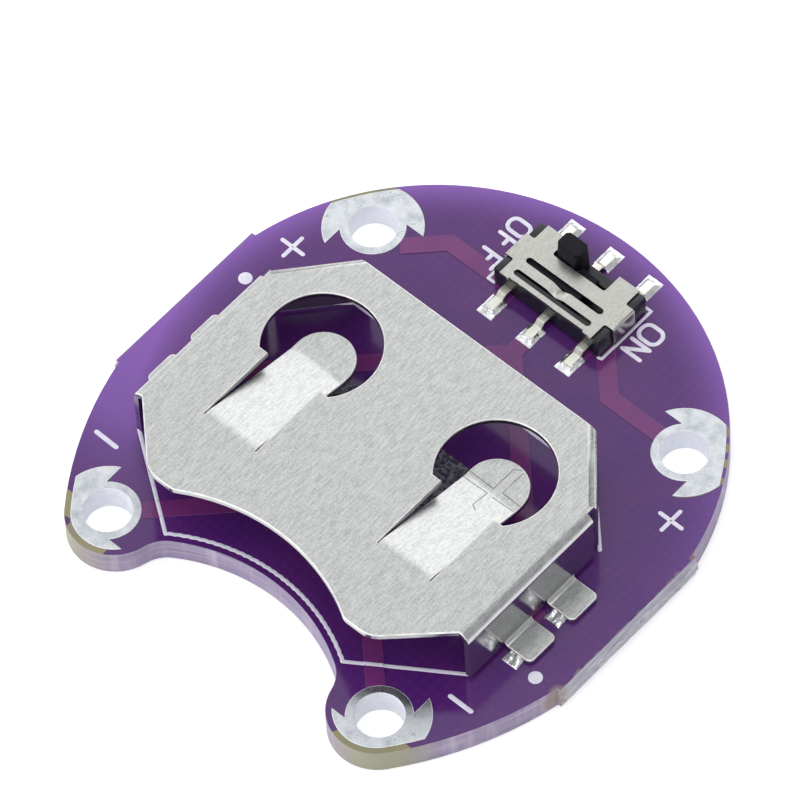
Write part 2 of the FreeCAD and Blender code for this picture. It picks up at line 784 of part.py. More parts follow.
# each tongue bends down at its root and level again near its tip: the sine and cosine of its slope
root_outer = dim("tongue_root_inside") + "clip_sheet"
bend_outer = dim("tongue_bend_inside") + "clip_sheet"
run = dim("tongue_flat_y") - "slot_front_y"
spare = (root_outer + "tongue_bend_inside") * 2 - "tongue_drop"
half_slope = dim("tongue_drop") / (run + root(run * run - spare * "tongue_drop"))
slope_sine = half_slope * 2 / (half_slope * half_slope + 1)
slope_fall = half_slope * slope_sine
for sign, place in ((1, "right"), (-1, "left")):
    middle = dim("tongue_x") * sign
    opening = new_sketch(clip, "opening_" + place, "XY", plate_top)
    corners = [
        (middle - "slot_half", "slot_front_y"),
        (middle + "slot_half", "slot_front_y"),
        (middle + "slot_half", "opening_front_y"),
        (middle + chord, "opening_front_y"),
        (middle + "opening_radius", "tongue_round_y"),
        (middle, dim("tongue_round_y") + "opening_radius"),
        (middle - "opening_radius", "tongue_round_y"),
        (middle - chord, "opening_front_y"),
        (middle - "slot_half", "opening_front_y"),
    ]
    outline(opening, corners, {edge: ("opening_radius", 1) for edge in (3, 4, 5, 6)})
    pocket(clip, opening, "clip_sheet")
    tongue = new_sketch(clip, "tongue_" + place, "YZ", middle - "tongue_half")
    tip_y = dim("tongue_round_y") + "tongue_half"
    corners = [
        (dim("slot_front_y") - "clip_sheet", plate_low),
        ("slot_front_y", plate_low),
        (dim("slot_front_y") + slope_sine * "tongue_root_inside",
         plate_low - slope_fall * "tongue_root_inside"),
        (dim("tongue_flat_y") - slope_sine * bend_outer, tip_low + slope_fall * bend_outer),
        ("tongue_flat_y", tip_low),
        (tip_y, tip_low),
        (tip_y, tip_low + "clip_sheet"),
        ("tongue_flat_y", tip_low + "clip_sheet"),
        (dim("tongue_flat_y") - slope_sine * "tongue_bend_inside",
         tip_low + "clip_sheet" + slope_fall * "tongue_bend_inside"),
        (dim("slot_front_y") + slope_sine * root_outer, plate_top - slope_fall * root_outer),
        ("slot_front_y", plate_top),
        (dim("slot_front_y") - "clip_sheet", plate_top),
    ]
    tongue_arcs = {
        1: ("tongue_root_inside", -1),
        3: (bend_outer, 1),
        7: ("tongue_bend_inside", -1),
        9: (root_outer, 1),
    }
    outline(tongue, corners, tongue_arcs)
    pad(clip, tongue, dim("tongue_half") * 2)
    tip = new_sketch(clip, "tongue_tip_" + place, "XY", tip_low + "clip_sheet")
    corners = [
        (middle + "tongue_half", "tongue_round_y"),
        (middle + "tongue_half" + "clip_sheet", "tongue_round_y"),
        (middle + "tongue_half" + "clip_sheet", tip_y + "clip_sheet"),
        (middle - "tongue_half" - "clip_sheet", tip_y + "clip_sheet"),
        (middle - "tongue_half" - "clip_sheet", "tongue_round_y"),
        (middle - "tongue_half", "tongue_round_y"),
        (middle, tip_y),
    ]
    outline(tip, corners, {5: ("tongue_half", -1), 6: ("tongue_half", -1)})
    pocket(clip, tip, "clip_sheet")

foot_corners = []
for sign in (1, -1):
    for number in (0, 1):
        for side in (-0.5, 0.5):
            foot_corners.append((
                (dim("clip_half_width") + "foot_length") * sign,
                dim("foot_back_y") - dim("foot_pitch") * number + dim("foot_width") * side,
                (foot_low + foot_high) / 2))


def round_edges(body, name, radius, middles):
    """Fillet the edges whose middles lie at the given points."""
    doc.recompute()
    base = body.Tip
    names = []
    for middle in middles:
        spot = FreeCAD.Vector(*[value.number for value in middle])
        found = [f"Edge{number}" for number, edge in enumerate(body.Shape.Edges, start=1)
                 if (edge.CenterOfMass - spot).Length < 0.01]
        if len(found) != 1:
            raise RuntimeError(f"{name}: {len(found)} edges at {spot}")
        names += found
    feature = body.newObject("PartDesign::Fillet", name)
    feature.Base = (base, names)
    bind(feature, "Radius", radius)
    return feature


round_edges(clip, "foot_rounding", "foot_corner", foot_corners)
keep("cell_clip", clip)


# Clip joints: a pad under each foot, and the solder that shows beside it

for sign, place in ((1, "right"), (-1, "left")):
    for number, row in ((0, "back"), (1, "front")):
        name = f"clip_joint_{row}_{place}"
        middle_y = dim("foot_back_y") - dim("foot_pitch") * number
        edge_y = middle_y - dim("foot_width") / 2
        low_x = dim("clip_pad_inner_x") if sign > 0 else -dim("clip_pad_outer_x")
        width = dim("clip_pad_outer_x") - "clip_pad_inner_x"
        joint = new_body(name + "_body")
        base = new_sketch(joint, name + "_pad", "XY", top)
        rectangle(base, low_x, low_x + width, edge_y - "clip_pad_front", middle_y + dim("foot_width") / 2)
        pad(joint, base, "metal_height")
        mound = new_sketch(joint, name + "_mound", "YZ", low_x)
        corners = [
            (edge_y - "clip_pad_front", foot_low),
            (edge_y, foot_low),
            (edge_y, foot_low + "clip_solder_rise"),
            (edge_y - "clip_mound_crest", foot_low + "clip_solder_rise"),
            (edge_y - "clip_pad_front", foot_low + "clip_solder_lip"),
        ]
        outline(mound, corners, {3: ("clip_pad_front", -1)})
        pad(joint, mound, width)
        keep(name, joint)


# Switch terminals: a contact plate in the floor, a bend outside the wall and a foot on its pad

contact_high = top + "floor_height"
contact_low = contact_high - "pin_sheet"
pin_high = foot_low + "pin_sheet"
pin_mitre = dim("pin_sheet") * "pin_mitre_share"
switch_y = dim("switch_y")
terminals = []
for row, (sign, place) in enumerate(((-1, "front"), (1, "back"))):
    for column in (-1, 0, 1):
        number = row * 3 + column + 2
        name = f"switch_terminal_{number}"
        middle_x = dim("switch_pitch") * column
        terminal = new_body(name + "_body")
        leg = new_sketch(terminal, name + "_leg", "YZ", middle_x - "pin_half")
        corners = [
            ("contact_inner", contact_low),
            (dim("pin_knee") - pin_mitre, contact_low),
            (dim("pin_heel") - pin_mitre, foot_low),
            ("pin_toe", foot_low),
            ("pin_toe", pin_high),
            ("pin_heel", pin_high),
            ("pin_knee", contact_high),
            ("contact_inner", contact_high),
        ]
        outline(leg, [(switch_y + dim(y) * sign, z) for y, z in corners])
        pad(terminal, leg, dim("pin_half") * 2)
        plate = new_sketch(terminal, name + "_contact", "XY", contact_low)
        near = switch_y + dim("contact_inner") * sign
        far = switch_y + dim("cavity_half_y") * sign
        low_y, high_y = (near, far) if sign > 0 else (far, near)
        rectangle(plate, middle_x - "contact_half", middle_x + "contact_half", low_y, high_y)
        pad(terminal, plate, "pin_sheet")
        keep(name, terminal)
        terminals.append(terminal)

        # its pad and solder
        name = f"switch_joint_{number}"
        joint = new_body(name + "_body")
        base = new_sketch(joint, name + "_pad", "XY", top)
        heel = switch_y + dim("pad_heel") * sign
        toe = switch_y + dim("pad_toe") * sign
        low_y, high_y = (heel, toe) if sign > 0 else (toe, heel)
        rectangle(base, middle_x - "pad_half", middle_x + "pad_half", low_y, high_y)
        pad(joint, base, "metal_height")
        mound = new_sketch(joint, name + "_mound", "XY", foot_low)
        margin = dim("solder_margin")
        rectangle(mound, middle_x - "pad_half" + margin, middle_x + "pad_half" - margin,
                  low_y + margin, high_y - margin)
        solder = pad(joint, mound, "solder_rise")
        solder.TaperAngle = -SIZES["solder_slope"]
        keep(name, boolean("Cut", name + "_solder", joint, terminal))


# Switch housing: a moulded tray, open at the top, with a window for the knob in its back wall

housing = new_body("switch_housing_body")
low_y, high_y = switch_y - "body_half_y", switch_y + "body_half_y"
housing_low = top + "body_standoff"
corner_high = top + "corner_height"
seat = top + "cover_height" - "cover_sheet"
block = new_sketch(housing, "housing_block", "XY", housing_low)
rectangle(block, -dim("body_half_x"), "body_half_x", low_y, high_y)
pad(housing, block, corner_high - housing_low)
seat_sketch = new_sketch(housing, "cover_seat", "XY", corner_high)
seat_x = dim("cover_half_x") + "cover_clearance"
tab_y = dim("cover_tab_half") + "cover_clearance"
root_turn = dim("cover_root_radius") - "cover_clearance"
past_x = dim("body_half_x") + 1
past_y = dim("body_half_y") + 1
right_half = [
    (seat_x, switch_y - past_y), (seat_x, switch_y - tab_y - root_turn),
    (seat_x + root_turn, switch_y - tab_y), (past_x, switch_y - tab_y),
    (past_x, switch_y + tab_y), (seat_x + root_turn, switch_y + tab_y),
    (seat_x, switch_y + tab_y + root_turn), (seat_x, switch_y + past_y),
]
left_half = [(-x, y) for x, y in reversed(right_half)]
outline(seat_sketch, right_half + left_half, {edge: (root_turn, -1) for edge in (1, 5, 9, 13)})
pocket(housing, seat_sketch, corner_high - seat)
cavity = new_sketch(housing, "housing_cavity", "XY", seat)
rectangle(cavity, -dim("cavity_half_x"), "cavity_half_x",
          switch_y - "cavity_half_y", switch_y + "cavity_half_y")
pocket(housing, cavity, seat - contact_high)
window_half = dim("slider_travel") / 2 + "knob_half_x" + "knob_end_gap"
window = new_sketch(housing, "knob_window", "XY", seat)
rectangle(window, -window_half, window_half, switch_y, high_y + 1)
pocket(housing, window, seat - top - "sill_height")
pegs = new_sketch(housing, "housing_pegs", "XY", housing_low - "peg_length")
for sign in (-1, 1):
    circle(pegs, dim("peg_x") * sign, "switch_y", "peg_radius")
pad(housing, pegs, "peg_length")
moulded = housing
for number, terminal in enumerate(terminals, start=1):
    moulded = boolean("Cut", f"housing_round_terminal_{number}", moulded, terminal)
keep("switch_housing", moulded)


# Switch cover: sheet with a spring strip between two slots, a notch for the knob and a tab at each end

cover = new_body("switch_cover_body")
cover_top = top + "cover_height"
cover_x = dim("cover_half_x")
front_y, back_y = switch_y - "cover_half_y", switch_y + "cover_half_y"
lip_y = front_y + "cover_lip"
lid = new_sketch(cover, "cover_lid", "XY", seat)
notch_y = dim("knob_front_y") - "knob_end_gap"
root_out = dim("cover_root_radius")
root_y = dim("cover_tab_half") + root_out
notch_turn = dim("cover_notch_radius")
right_half = [
    ("cover_lip_half", lip_y), ("cover_lip_half", front_y), (cover_x, front_y),
    (cover_x, switch_y - root_y), (cover_x + root_out, switch_y - "cover_tab_half"),
    (cover_x + root_out, switch_y + "cover_tab_half"), (cover_x, switch_y + root_y),
    (cover_x, back_y), (window_half, back_y), (window_half, notch_y + notch_turn),
    (window_half - notch_turn, notch_y),
]
left_half = [(-dim(x), y) for x, y in reversed(right_half)]
turns = {edge: (root_out, -1) for edge in (3, 5, 15, 17)}
turns.update({edge: (notch_turn, -1) for edge in (9, 11)})
outline(lid, right_half + left_half, turns)
pad(cover, lid, "cover_sheet")
tab_inner = dim("body_half_x") + "cover_clearance"
tab_outer = tab_inner + "cover_sheet"
tab_bend = dim("cover_sheet") + "cover_clearance"
for sign, place in ((1, "right"), (-1, "left")):
    tab = new_sketch(cover, "cover_tab_" + place, "XZ", -switch_y - "cover_tab_half")
    corners = [
        (cover_x - "cover_sheet", seat),
        (tab_inner, seat),
        (tab_inner, top + "cover_tab_foot"),
        (tab_outer, top + "cover_tab_foot"),
        (tab_outer, cover_top - tab_bend),
        (tab_outer - tab_bend, cover_top),
        (cover_x - "cover_sheet", cover_top),
    ]
    half_outline(tab, corners, {4: (tab_bend, 1)}, sign)
    pad(cover, tab, dim("cover_tab_half") * 2)
strip_low = dim("spring_y") - "spring_half"
strip_high = dim("spring_y") + "spring_half"
slots = new_sketch(cover, "cover_slots", "XY", cover_top)
slot_turn = dim("cover_slot_width") / 2
slot_end = dim("cover_slot_half")
for low_y in (strip_low - "cover_slot_width", strip_high):
    corners = [
        (slot_turn - slot_end, low_y), (slot_end - slot_turn, low_y), (slot_end, low_y + slot_turn),
        (slot_end - slot_turn, low_y + "cover_slot_width"),
        (slot_turn - slot_end, low_y + "cover_slot_width"), (-slot_end, low_y + slot_turn),
    ]
    outline(slots, corners, {edge: (slot_turn, 1) for edge in (1, 2, 4, 5)})
pocket(cover, slots, "cover_sheet")
gap = new_sketch(cover, "spring_gap", "XY", cover_top)
rectangle(gap, -dim("spring_dip_half"), "spring_dip_half", strip_low, strip_high)
pocket(cover, gap, "cover_sheet")
dip = new_sketch(cover, "spring_dip", "XZ", -strip_high)
corners = [
    (-dim("spring_dip_half"), seat),
    (0, seat - "spring_dip"),
    ("spring_dip_half", seat),
    ("spring_dip_half", cover_top),
    (0, cover_top - "spring_dip"),
    (-dim("spring_dip_half"), cover_top),
]
outline(dip, corners)
pad(cover, dip, dim("spring_half") * 2)
keep("switch_cover", cover)


# Slider: a block in the housing's cavity, its knob in the window, at the OFF end of its travel

slider_x = -dim("slider_travel") / 2
slider_low = top + "slider_under"
slider_high = seat - "slider_fit"
slider = new_body("switch_slider_body")
runner = new_sketch(slider, "slider_runner", "XY", slider_low)
runner_y = dim("cavity_half_y") - "slider_fit"
rectangle(runner, slider_x - "slider_half_x", slider_x + "slider_half_x",
          switch_y - runner_y, switch_y + runner_y)
pad(slider, runner, slider_high - slider_low)
knob = new_sketch(slider, "slider_knob", "XY", slider_low)
knob_left, knob_right = slider_x - "knob_half_x", slider_x + "knob_half_x"
cut = dim("knob_corner")
corners = [
    (knob_left + cut, "knob_front_y"), (knob_right - cut, "knob_front_y"),
    (knob_right, dim("knob_front_y") + cut), (knob_right, dim("knob_back_y") - cut),
    (knob_right - cut, "knob_back_y"), (knob_left + cut, "knob_back_y"),
    (knob_left, dim("knob_back_y") - cut), (knob_left, dim("knob_front_y") + cut),
]
outline(knob, corners)
pad(slider, knob, seat - slider_low)
grip = new_sketch(slider, "slider_grip", "XY", seat)
outline(grip, corners)
drafted = pad(slider, grip, top + "knob_height" - seat)
drafted.TaperAngle = -SIZES["knob_draft"]
groove = new_sketch(slider, "slider_groove", "XY", slider_high)
groove_y = dim("spring_half") + "slider_fit"
rectangle(groove, slider_x - "slider_half_x" - 1, slider_x + "slider_half_x" + 1,
          dim("spring_y") - groove_y, dim("spring_y") + groove_y)
pocket(slider, groove, slider_high - seat + "spring_dip" + "slider_fit")
keep("switch_slider", slider)

# Wipers: bent strips under the slider that join two contact plates in a row
wiper_high = slider_low
wiper_turn = dim("wiper_flat_x")
bump_low = contact_high + "wiper_fit"
for sign, place in ((-1, "front"), (1, "back")):
    wiper = new_body(f"switch_wiper_{place}_body")
    middle_y = switch_y + dim("wiper_y") * sign
    strip = new_sketch(wiper, f"wiper_{place}_strip", "XZ", -middle_y - "wiper_half_y")
    lower = [
        (-dim("wiper_tip_x"), bump_low + "wiper_tip_rise"),
        (-dim("wiper_bump_x"), bump_low),
        (-wiper_turn, wiper_high - "wiper_sheet"),
        (wiper_turn, wiper_high - "wiper_sheet"),
        ("wiper_bump_x", bump_low),
        ("wiper_tip_x", bump_low + "wiper_tip_rise"),
    ]
    upper = [(x, dim(z) + "wiper_sheet") for x, z in reversed(lower)]
    outline(strip, [(slider_x + x, z) for x, z in lower + upper])
    pad(wiper, strip, dim("wiper_half_y") * 2)
    keep("switch_wiper_" + place, wiper)


# Every object must be sound before its file is written

doc.recompute()
for item in doc.Objects:
    if "Invalid" in item.State or "Error" in item.State:
        raise RuntimeError(f"{item.Name} is {item.State}")
os.makedirs("parts", exist_ok=True)
for label, piece in pieces.items():
    shape = piece.Shape
    if shape.isNull() or not shape.isValid() or len(shape.Solids) != 1:
        raise RuntimeError(f"{label} is not one valid solid")
    shape.exportStep(f"parts/{label}.step")
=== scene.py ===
import bmesh
import bpy
import math
from mathutils import Matrix, Vector, noise
from mathutils.bvhtree import BVHTree


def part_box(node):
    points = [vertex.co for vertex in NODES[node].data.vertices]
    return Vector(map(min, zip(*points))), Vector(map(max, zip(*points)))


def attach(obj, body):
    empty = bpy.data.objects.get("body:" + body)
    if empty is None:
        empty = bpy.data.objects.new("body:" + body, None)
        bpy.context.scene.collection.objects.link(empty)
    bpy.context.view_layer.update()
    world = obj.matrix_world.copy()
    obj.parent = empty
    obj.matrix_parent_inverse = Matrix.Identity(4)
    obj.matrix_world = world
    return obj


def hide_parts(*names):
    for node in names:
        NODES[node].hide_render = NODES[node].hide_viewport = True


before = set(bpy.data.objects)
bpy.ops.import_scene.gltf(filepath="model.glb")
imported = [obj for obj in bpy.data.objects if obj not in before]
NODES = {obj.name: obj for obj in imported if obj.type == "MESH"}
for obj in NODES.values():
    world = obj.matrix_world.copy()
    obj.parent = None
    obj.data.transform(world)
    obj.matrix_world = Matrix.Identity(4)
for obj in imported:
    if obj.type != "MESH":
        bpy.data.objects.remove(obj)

# Coin cell holder: a sheet-metal cell clip and a slide switch soldered to a round purple board with
# sew tabs. Lengths are written in millimetres and turned to metres with MM.

MM = 0.001
BOARD_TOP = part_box("circuit_board")[1][2]
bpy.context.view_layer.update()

# Marks on the board's top: x, y and half width in millimetres
MARKS_Z = 1.5 * MM
TEETH = ((11.34, 9.12, 0.2), (11.9, 8.4, 0.2), (12.42, 7.56, 0.3), (-10.05, -15.27, 0.26),
         (7.4, -15.25, 0.5))
NICKS = ((14.6, 1.72, 0.3), (14.58, -5.46, 0.28), (14.5, 2.95, 0.3), (14.5, -7.0, 0.5))

# Beside each sew hole the mask stops short of the board's edge. A row gives the hole's x and y,
# which way is out along y, the opening's radius, and how far out along y it starts. The opening
# lies past OPENING_OUTER from the hole in x or y, and not farther in than OPENING_INNER in x.
MASK_OPENINGS = ((10.18, 7.19, 1.0, 2.58, -9.0), (8.87, -13.5, -1.0, 3.4, 0.35))
OPENING_OUTER = 1.25
OPENING_INNER = -1.5

# The snapped flats: where they start, where the ridge half way up them starts, and their two ends
FLAT_FACE = 14.45 * MM
RIDGE_FACE = 14.6 * MM
FLAT_FRONT = -7 * MM
FLAT_BACK = 3.1 * MM

# Node kinds, and a Mix node's inputs by their place
MATH = "ShaderNodeMath"
VECTOR_MATH = "ShaderNodeVectorMath"
NOISE = "ShaderNodeTexNoise"
RAMP = "ShaderNodeValToRGB"
RANGE = "ShaderNodeMapRange"
MIX = "ShaderNodeMix"
BUMP = "ShaderNodeBump"
MAPPING = "ShaderNodeMapping"
SPLIT = "ShaderNodeSeparateXYZ"
JOIN = "ShaderNodeCombineXYZ"
RANDOM = "FunctionNodeRandomValue"
VALUE_A, VALUE_B, COLOUR_A, COLOUR_B = 2, 3, 6, 7


# Shader helpers

def linear(hex_text):
    """An sRGB hex colour as the linear colour that a shader socket takes."""
    channels = [int(hex_text[i:i + 2], 16) / 255 for i in (0, 2, 4)]
    return tuple(c / 12.92 if c <= 0.04045 else ((c + 0.055) / 1.055) ** 2.4
                 for c in channels) + (1.0,)


def add(tree, kind, sockets=None, stops=(), **settings):
    """Add a node. sockets gives each input, by its name or place, a node, a node's output, a hex
    colour or a plain value, and stops gives a colour ramp its places and hex colours."""
    node = tree.nodes.new(kind)
    for name, value in settings.items():
        setattr(node, name, value)
    for number, (place, colour) in enumerate(stops):
        band = node.color_ramp.elements
        stop = band[number] if number < 2 else band.new(place)
        stop.position = place
        stop.color = linear(colour)
    for key, value in (sockets or {}).items():
        if isinstance(value, bpy.types.Node):
            value = next(output for output in value.outputs if output.enabled)
        if isinstance(value, bpy.types.NodeSocket):
            tree.links.new(value, node.inputs[key])
        elif isinstance(value, str):
            node.inputs[key].default_value = linear(value)
        else:
            node.inputs[key].default_value = value
    return node


def new_material(name):
    """A material with an empty tree, and the Object coordinates that lay out its patterns."""
    material = bpy.data.materials.new(name)
    material.use_nodes = True
    tree = material.node_tree
    tree.nodes.clear()
    return material, tree, add(tree, "ShaderNodeTexCoord").outputs["Object"]


def close_material(material, tree, sockets):
    """Give the material its one shader, with these inputs."""
    shader = add(tree, "ShaderNodeBsdfPrincipled", sockets)
    add(tree, "ShaderNodeOutputMaterial", {"Surface": shader})
    return material


# Materials: each is named for what the real surface is

def mottled(name, scale, stops, sockets, detail=3.0):
    """A material whose colours run into each other in soft clouds. Its other inputs are the same
    all over."""
    material, tree, space = new_material(name)
    cloud = add(tree, NOISE, {"Vector": space, "Scale": scale, "Detail": detail})
    colour = add(tree, RAMP, {"Fac": cloud}, stops)
    return close_material(material, tree, {"Base Color": colour, **sockets})


def solder_mask():
    """Liquid solder mask over glass-epoxy: a clear purple lacquer with a wet shine, a little
    cloudy. It gives the eye the sharp mirrored shapes of the clip and switch. Toward the round
    edge and the flats, on the side toward the rear lamps and away from the front lobe, it is
    painted lighter: painted light for the light that comes in through the cut glass-epoxy. The
    cloth of glass threads, 0.5 mm apart, shows faintly. Past each sew tab the mask stops short
    of the edge and bares the olive laminate, with stray purple teeth. It frays to grey along the
    snapped flats, with brown nicks on the right-hand one."""
    material, tree, space = new_material("solder_mask_purple")
    place = add(tree, SPLIT, {"Vector": space}).outputs
    cloud = add(tree, NOISE, {"Vector": space, "Scale": 0.35 / MM, "Detail": 3.0})
    deep = add(tree, RAMP, {"Fac": cloud}, [(0.3, "4b1f6c"), (0.7, "55226b")])
    warp = add(tree, "ShaderNodeTexWave", {"Vector": space, "Scale": 0.63 / MM, "Distortion": 0.6},
               bands_direction="X")
    weft = add(tree, "ShaderNodeTexWave", {"Vector": space, "Scale": 0.63 / MM, "Distortion": 0.6},
               bands_direction="Y")
    cloth = add(tree, MATH, {0: warp, 1: weft}, operation="MULTIPLY")
    cloth_part = add(tree, MATH, {0: cloth, 1: 0.035}, operation="MULTIPLY")
    woven = add(tree, MIX, {"Factor": cloth_part, COLOUR_A: deep, COLOUR_B: "8d6aa8"},
                data_type="RGBA")
    side = add(tree, MATH, {0: place["X"]}, operation="ABSOLUTE")
    # Painted light: near the rim, on the side toward the rear lamps and off the front lobe, the
    # mask is painted lighter
    out = add(tree, VECTOR_MATH, {0: space}, operation="LENGTH")
    near_round = add(tree, RANGE, {"Value": out, "From Min": 12.2 * MM, "From Max": 14.7 * MM})
    near_flat = add(tree, RANGE, {"Value": side, "From Min": 12.2 * MM, "From Max": 14.6 * MM})
    nearest = add(tree, MATH, {0: near_round, 1: near_flat}, operation="MAXIMUM")
    near_rim = add(tree, MATH, {0: nearest, 1: 2.0}, operation="POWER")
    heading = add(tree, VECTOR_MATH, {0: space}, operation="NORMALIZE")
    toward_light = add(tree, VECTOR_MATH, {0: heading, 1: (-0.64, 0.77, 0.0)},
                       operation="DOT_PRODUCT")
    lit = add(tree, RANGE, {"Value": toward_light, "From Min": -0.7, "From Max": 0.5,
                            "To Max": 0.8})
    off_lobe = add(tree, RANGE, {"Value": place["Y"], "From Min": -13.0 * MM,
                                 "From Max": -9.0 * MM})
    lit_rim = add(tree, MATH, {0: near_rim, 1: lit}, operation="MULTIPLY")
    painted_rim_light = add(tree, MATH, {0: lit_rim, 1: off_lobe}, operation="MULTIPLY")
    purple = add(tree, MIX, {"Factor": painted_rim_light, COLOUR_A: woven, COLOUR_B: "8c5cba"}, data_type="RGBA")
    bare = 0.0
    for hole_x, hole_y, way, reach_mm, start in MASK_OPENINGS:
        dx = add(tree, MATH, {0: side, 1: hole_x * MM}, operation="SUBTRACT")
        step = add(tree, MATH, {0: place["Y"], 1: hole_y * MM}, operation="SUBTRACT")
        dy = add(tree, MATH, {0: step, 1: way}, operation="MULTIPLY")
        pair = add(tree, JOIN, {"X": dx, "Y": dy})
        reach = add(tree, VECTOR_MATH, {0: pair}, operation="LENGTH")
        opening = add(tree, MATH, {0: reach, 1: reach_mm * MM}, operation="LESS_THAN")
        farther = add(tree, MATH, {0: dx, 1: dy}, operation="MAXIMUM")
        for edge, limit in ((farther, OPENING_OUTER), (dy, start), (dx, OPENING_INNER)):
            beyond = add(tree, MATH, {0: edge, 1: limit * MM}, operation="GREATER_THAN")
            opening = add(tree, MATH, {0: opening, 1: beyond}, operation="MULTIPLY")
        bare = add(tree, MATH, {0: bare, 1: opening}, operation="MAXIMUM")
    for tooth_x, tooth_y, half in TEETH:
        away = add(tree, VECTOR_MATH, {0: space, 1: (tooth_x * MM, tooth_y * MM, MARKS_Z)},
                   operation="DISTANCE")
        clear = add(tree, MATH, {0: away, 1: half * MM}, operation="GREATER_THAN")
        bare = add(tree, MATH, {0: bare, 1: clear}, operation="MULTIPLY")
    burnt = 0.0
    for nick_x, nick_y, half in NICKS:
        away = add(tree, VECTOR_MATH, {0: space, 1: (nick_x * MM, nick_y * MM, MARKS_Z)},
                   operation="DISTANCE")
        mark = add(tree, RANGE, {"Value": away, "From Min": half * 0.6 * MM, "From Max": half * MM,
                                 "To Min": 0.75, "To Max": 0.0})
        burnt = add(tree, MATH, {0: burnt, 1: mark}, operation="MAXIMUM")
    stain = add(tree, NOISE, {"Vector": space, "Scale": 0.6 / MM, "Detail": 4.0})
    laminate = add(tree, RAMP, {"Fac": stain}, [(0.35, "847e69"), (0.65, "8e885c")])
    tear = add(tree, NOISE, {"Vector": space, "Scale": 2.2 / MM, "Detail": 3.0})
    torn_in = add(tree, MATH, {0: tear, 1: 0.4 * MM}, operation="MULTIPLY")
    ragged = add(tree, MATH, {0: side, 1: torn_in}, operation="ADD")
    fringe = add(tree, RANGE, {"Value": ragged, "From Min": 14.62 * MM, "From Max": 14.7 * MM,
                               "To Max": 0.6})
    fringed = add(tree, MIX, {"Factor": fringe, COLOUR_A: purple, COLOUR_B: "857a86"},
                  data_type="RGBA")
    nicked = add(tree, MIX, {"Factor": burnt, COLOUR_A: fringed, COLOUR_B: "86706a"},
                 data_type="RGBA")
    colour = add(tree, MIX, {"Factor": bare, COLOUR_A: nicked, COLOUR_B: laminate},
                 data_type="RGBA")
    shine = add(tree, RANGE, {"Value": cloud, "From Min": 0.3, "From Max": 0.7, "To Min": 0.11,
                              "To Max": 0.16})
    matt = add(tree, MATH, {0: bare, 1: 0.3}, operation="MULTIPLY")
    roughness = add(tree, MATH, {0: shine, 1: matt}, operation="ADD")
    flow = add(tree, NOISE, {"Vector": space, "Scale": 0.5 / MM, "Detail": 1.0})
    normal = add(tree, BUMP, {"Height": flow, "Distance": 0.01 * MM, "Strength": 0.6})
    return close_material(material, tree, {"Base Color": colour, "Roughness": roughness,
                                           "Normal": normal, "IOR": 1.55})


def masked_copper():
    """Copper foil under the mask: warmer and redder than the board, with the same wet shine."""
    material, tree, space = new_material("masked_copper")
    cloud = add(tree, NOISE, {"Vector": space, "Scale": 0.5 / MM, "Detail": 3.0})
    colour = add(tree, RAMP, {"Fac": cloud}, [(0.3, "692c70"), (0.7, "73306f")])
    roughness = add(tree, RANGE, {"Value": cloud, "From Min": 0.3, "From Max": 0.7, "To Min": 0.14,
                                  "To Max": 0.2})
    return close_material(material, tree, {"Base Color": colour, "Roughness": roughness,
                                           "IOR": 1.55})


def routed_edge():
    """Routed glass-epoxy edge: matt and pale, dusted lavender by the mask, with faint layers of
    cloth and upright mill marks. Beside the bare laminate round the lobes it turns straw yellow,
    and a snapped tab left a brown patch beside the right flat."""
    material, tree, space = new_material("routed_glass_epoxy")
    place = add(tree, SPLIT, {"Vector": space}).outputs
    flat_way = add(tree, MAPPING, {"Vector": space, "Scale": (0.3 / MM, 0.3 / MM, 5.0 / MM)})
    layers = add(tree, NOISE, {"Vector": flat_way, "Scale": 1.0, "Detail": 4.0})
    lavender = add(tree, RAMP, {"Fac": layers}, [(0.3, "8b7a9f"), (0.5, "9d8eae"),
                                                 (0.72, "b0a6bb")])
    up_way = add(tree, MAPPING, {"Vector": space, "Scale": (1.6 / MM, 1.6 / MM, 0.15 / MM)})
    marks = add(tree, NOISE, {"Vector": up_way, "Scale": 1.0, "Detail": 3.0})
    pale = add(tree, RANGE, {"Value": marks, "From Min": 0.5, "From Max": 0.72, "To Max": 0.5})
    marked = add(tree, MIX, {"Factor": pale, COLOUR_A: lavender, COLOUR_B: "cdc6d4"},
                 data_type="RGBA")
    # Painted shade: the lowest 0.12 mm of the edge, where it meets the floor, is painted darker
    # purple
    low = add(tree, RANGE, {"Value": place["Z"], "From Min": 0.0, "From Max": 0.12 * MM,
                            "To Min": 0.55, "To Max": 0.0})
    floor_shaded_edge = add(tree, MIX, {"Factor": low, COLOUR_A: marked, COLOUR_B: "5a3f78"}, data_type="RGBA")
    side = add(tree, MATH, {0: place["X"]}, operation="ABSOLUTE")
    out = add(tree, RANGE, {"Value": side, "From Min": 6.6 * MM, "From Max": 9.4 * MM})
    front = add(tree, RANGE, {"Value": place["Y"], "From Min": -14.2 * MM, "From Max": -12.6 * MM,
                              "To Min": 1.0, "To Max": 0.0})
    lobe = add(tree, MATH, {0: out, 1: front}, operation="MULTIPLY")
    straw = add(tree, MIX, {"Factor": lobe, COLOUR_A: floor_shaded_edge, COLOUR_B: "a19e88"}, data_type="RGBA")
    patch = add(tree, VECTOR_MATH, {0: space, 1: (14.45 * MM, -7.1 * MM, 0.8 * MM)},
                operation="DISTANCE")
    brown = add(tree, RANGE, {"Value": patch, "From Min": 0.4 * MM, "From Max": 0.95 * MM,
                              "To Min": 0.8, "To Max": 0.0})
    colour = add(tree, MIX, {"Factor": brown, COLOUR_A: straw, COLOUR_B: "9a8478"},
                 data_type="RGBA")
    normal = add(tree, BUMP, {"Height": layers, "Distance": 0.03 * MM, "Strength": 0.6})
    return close_material(material, tree, {"Base Color": colour, "Roughness": 0.5,
                                           "Normal": normal})


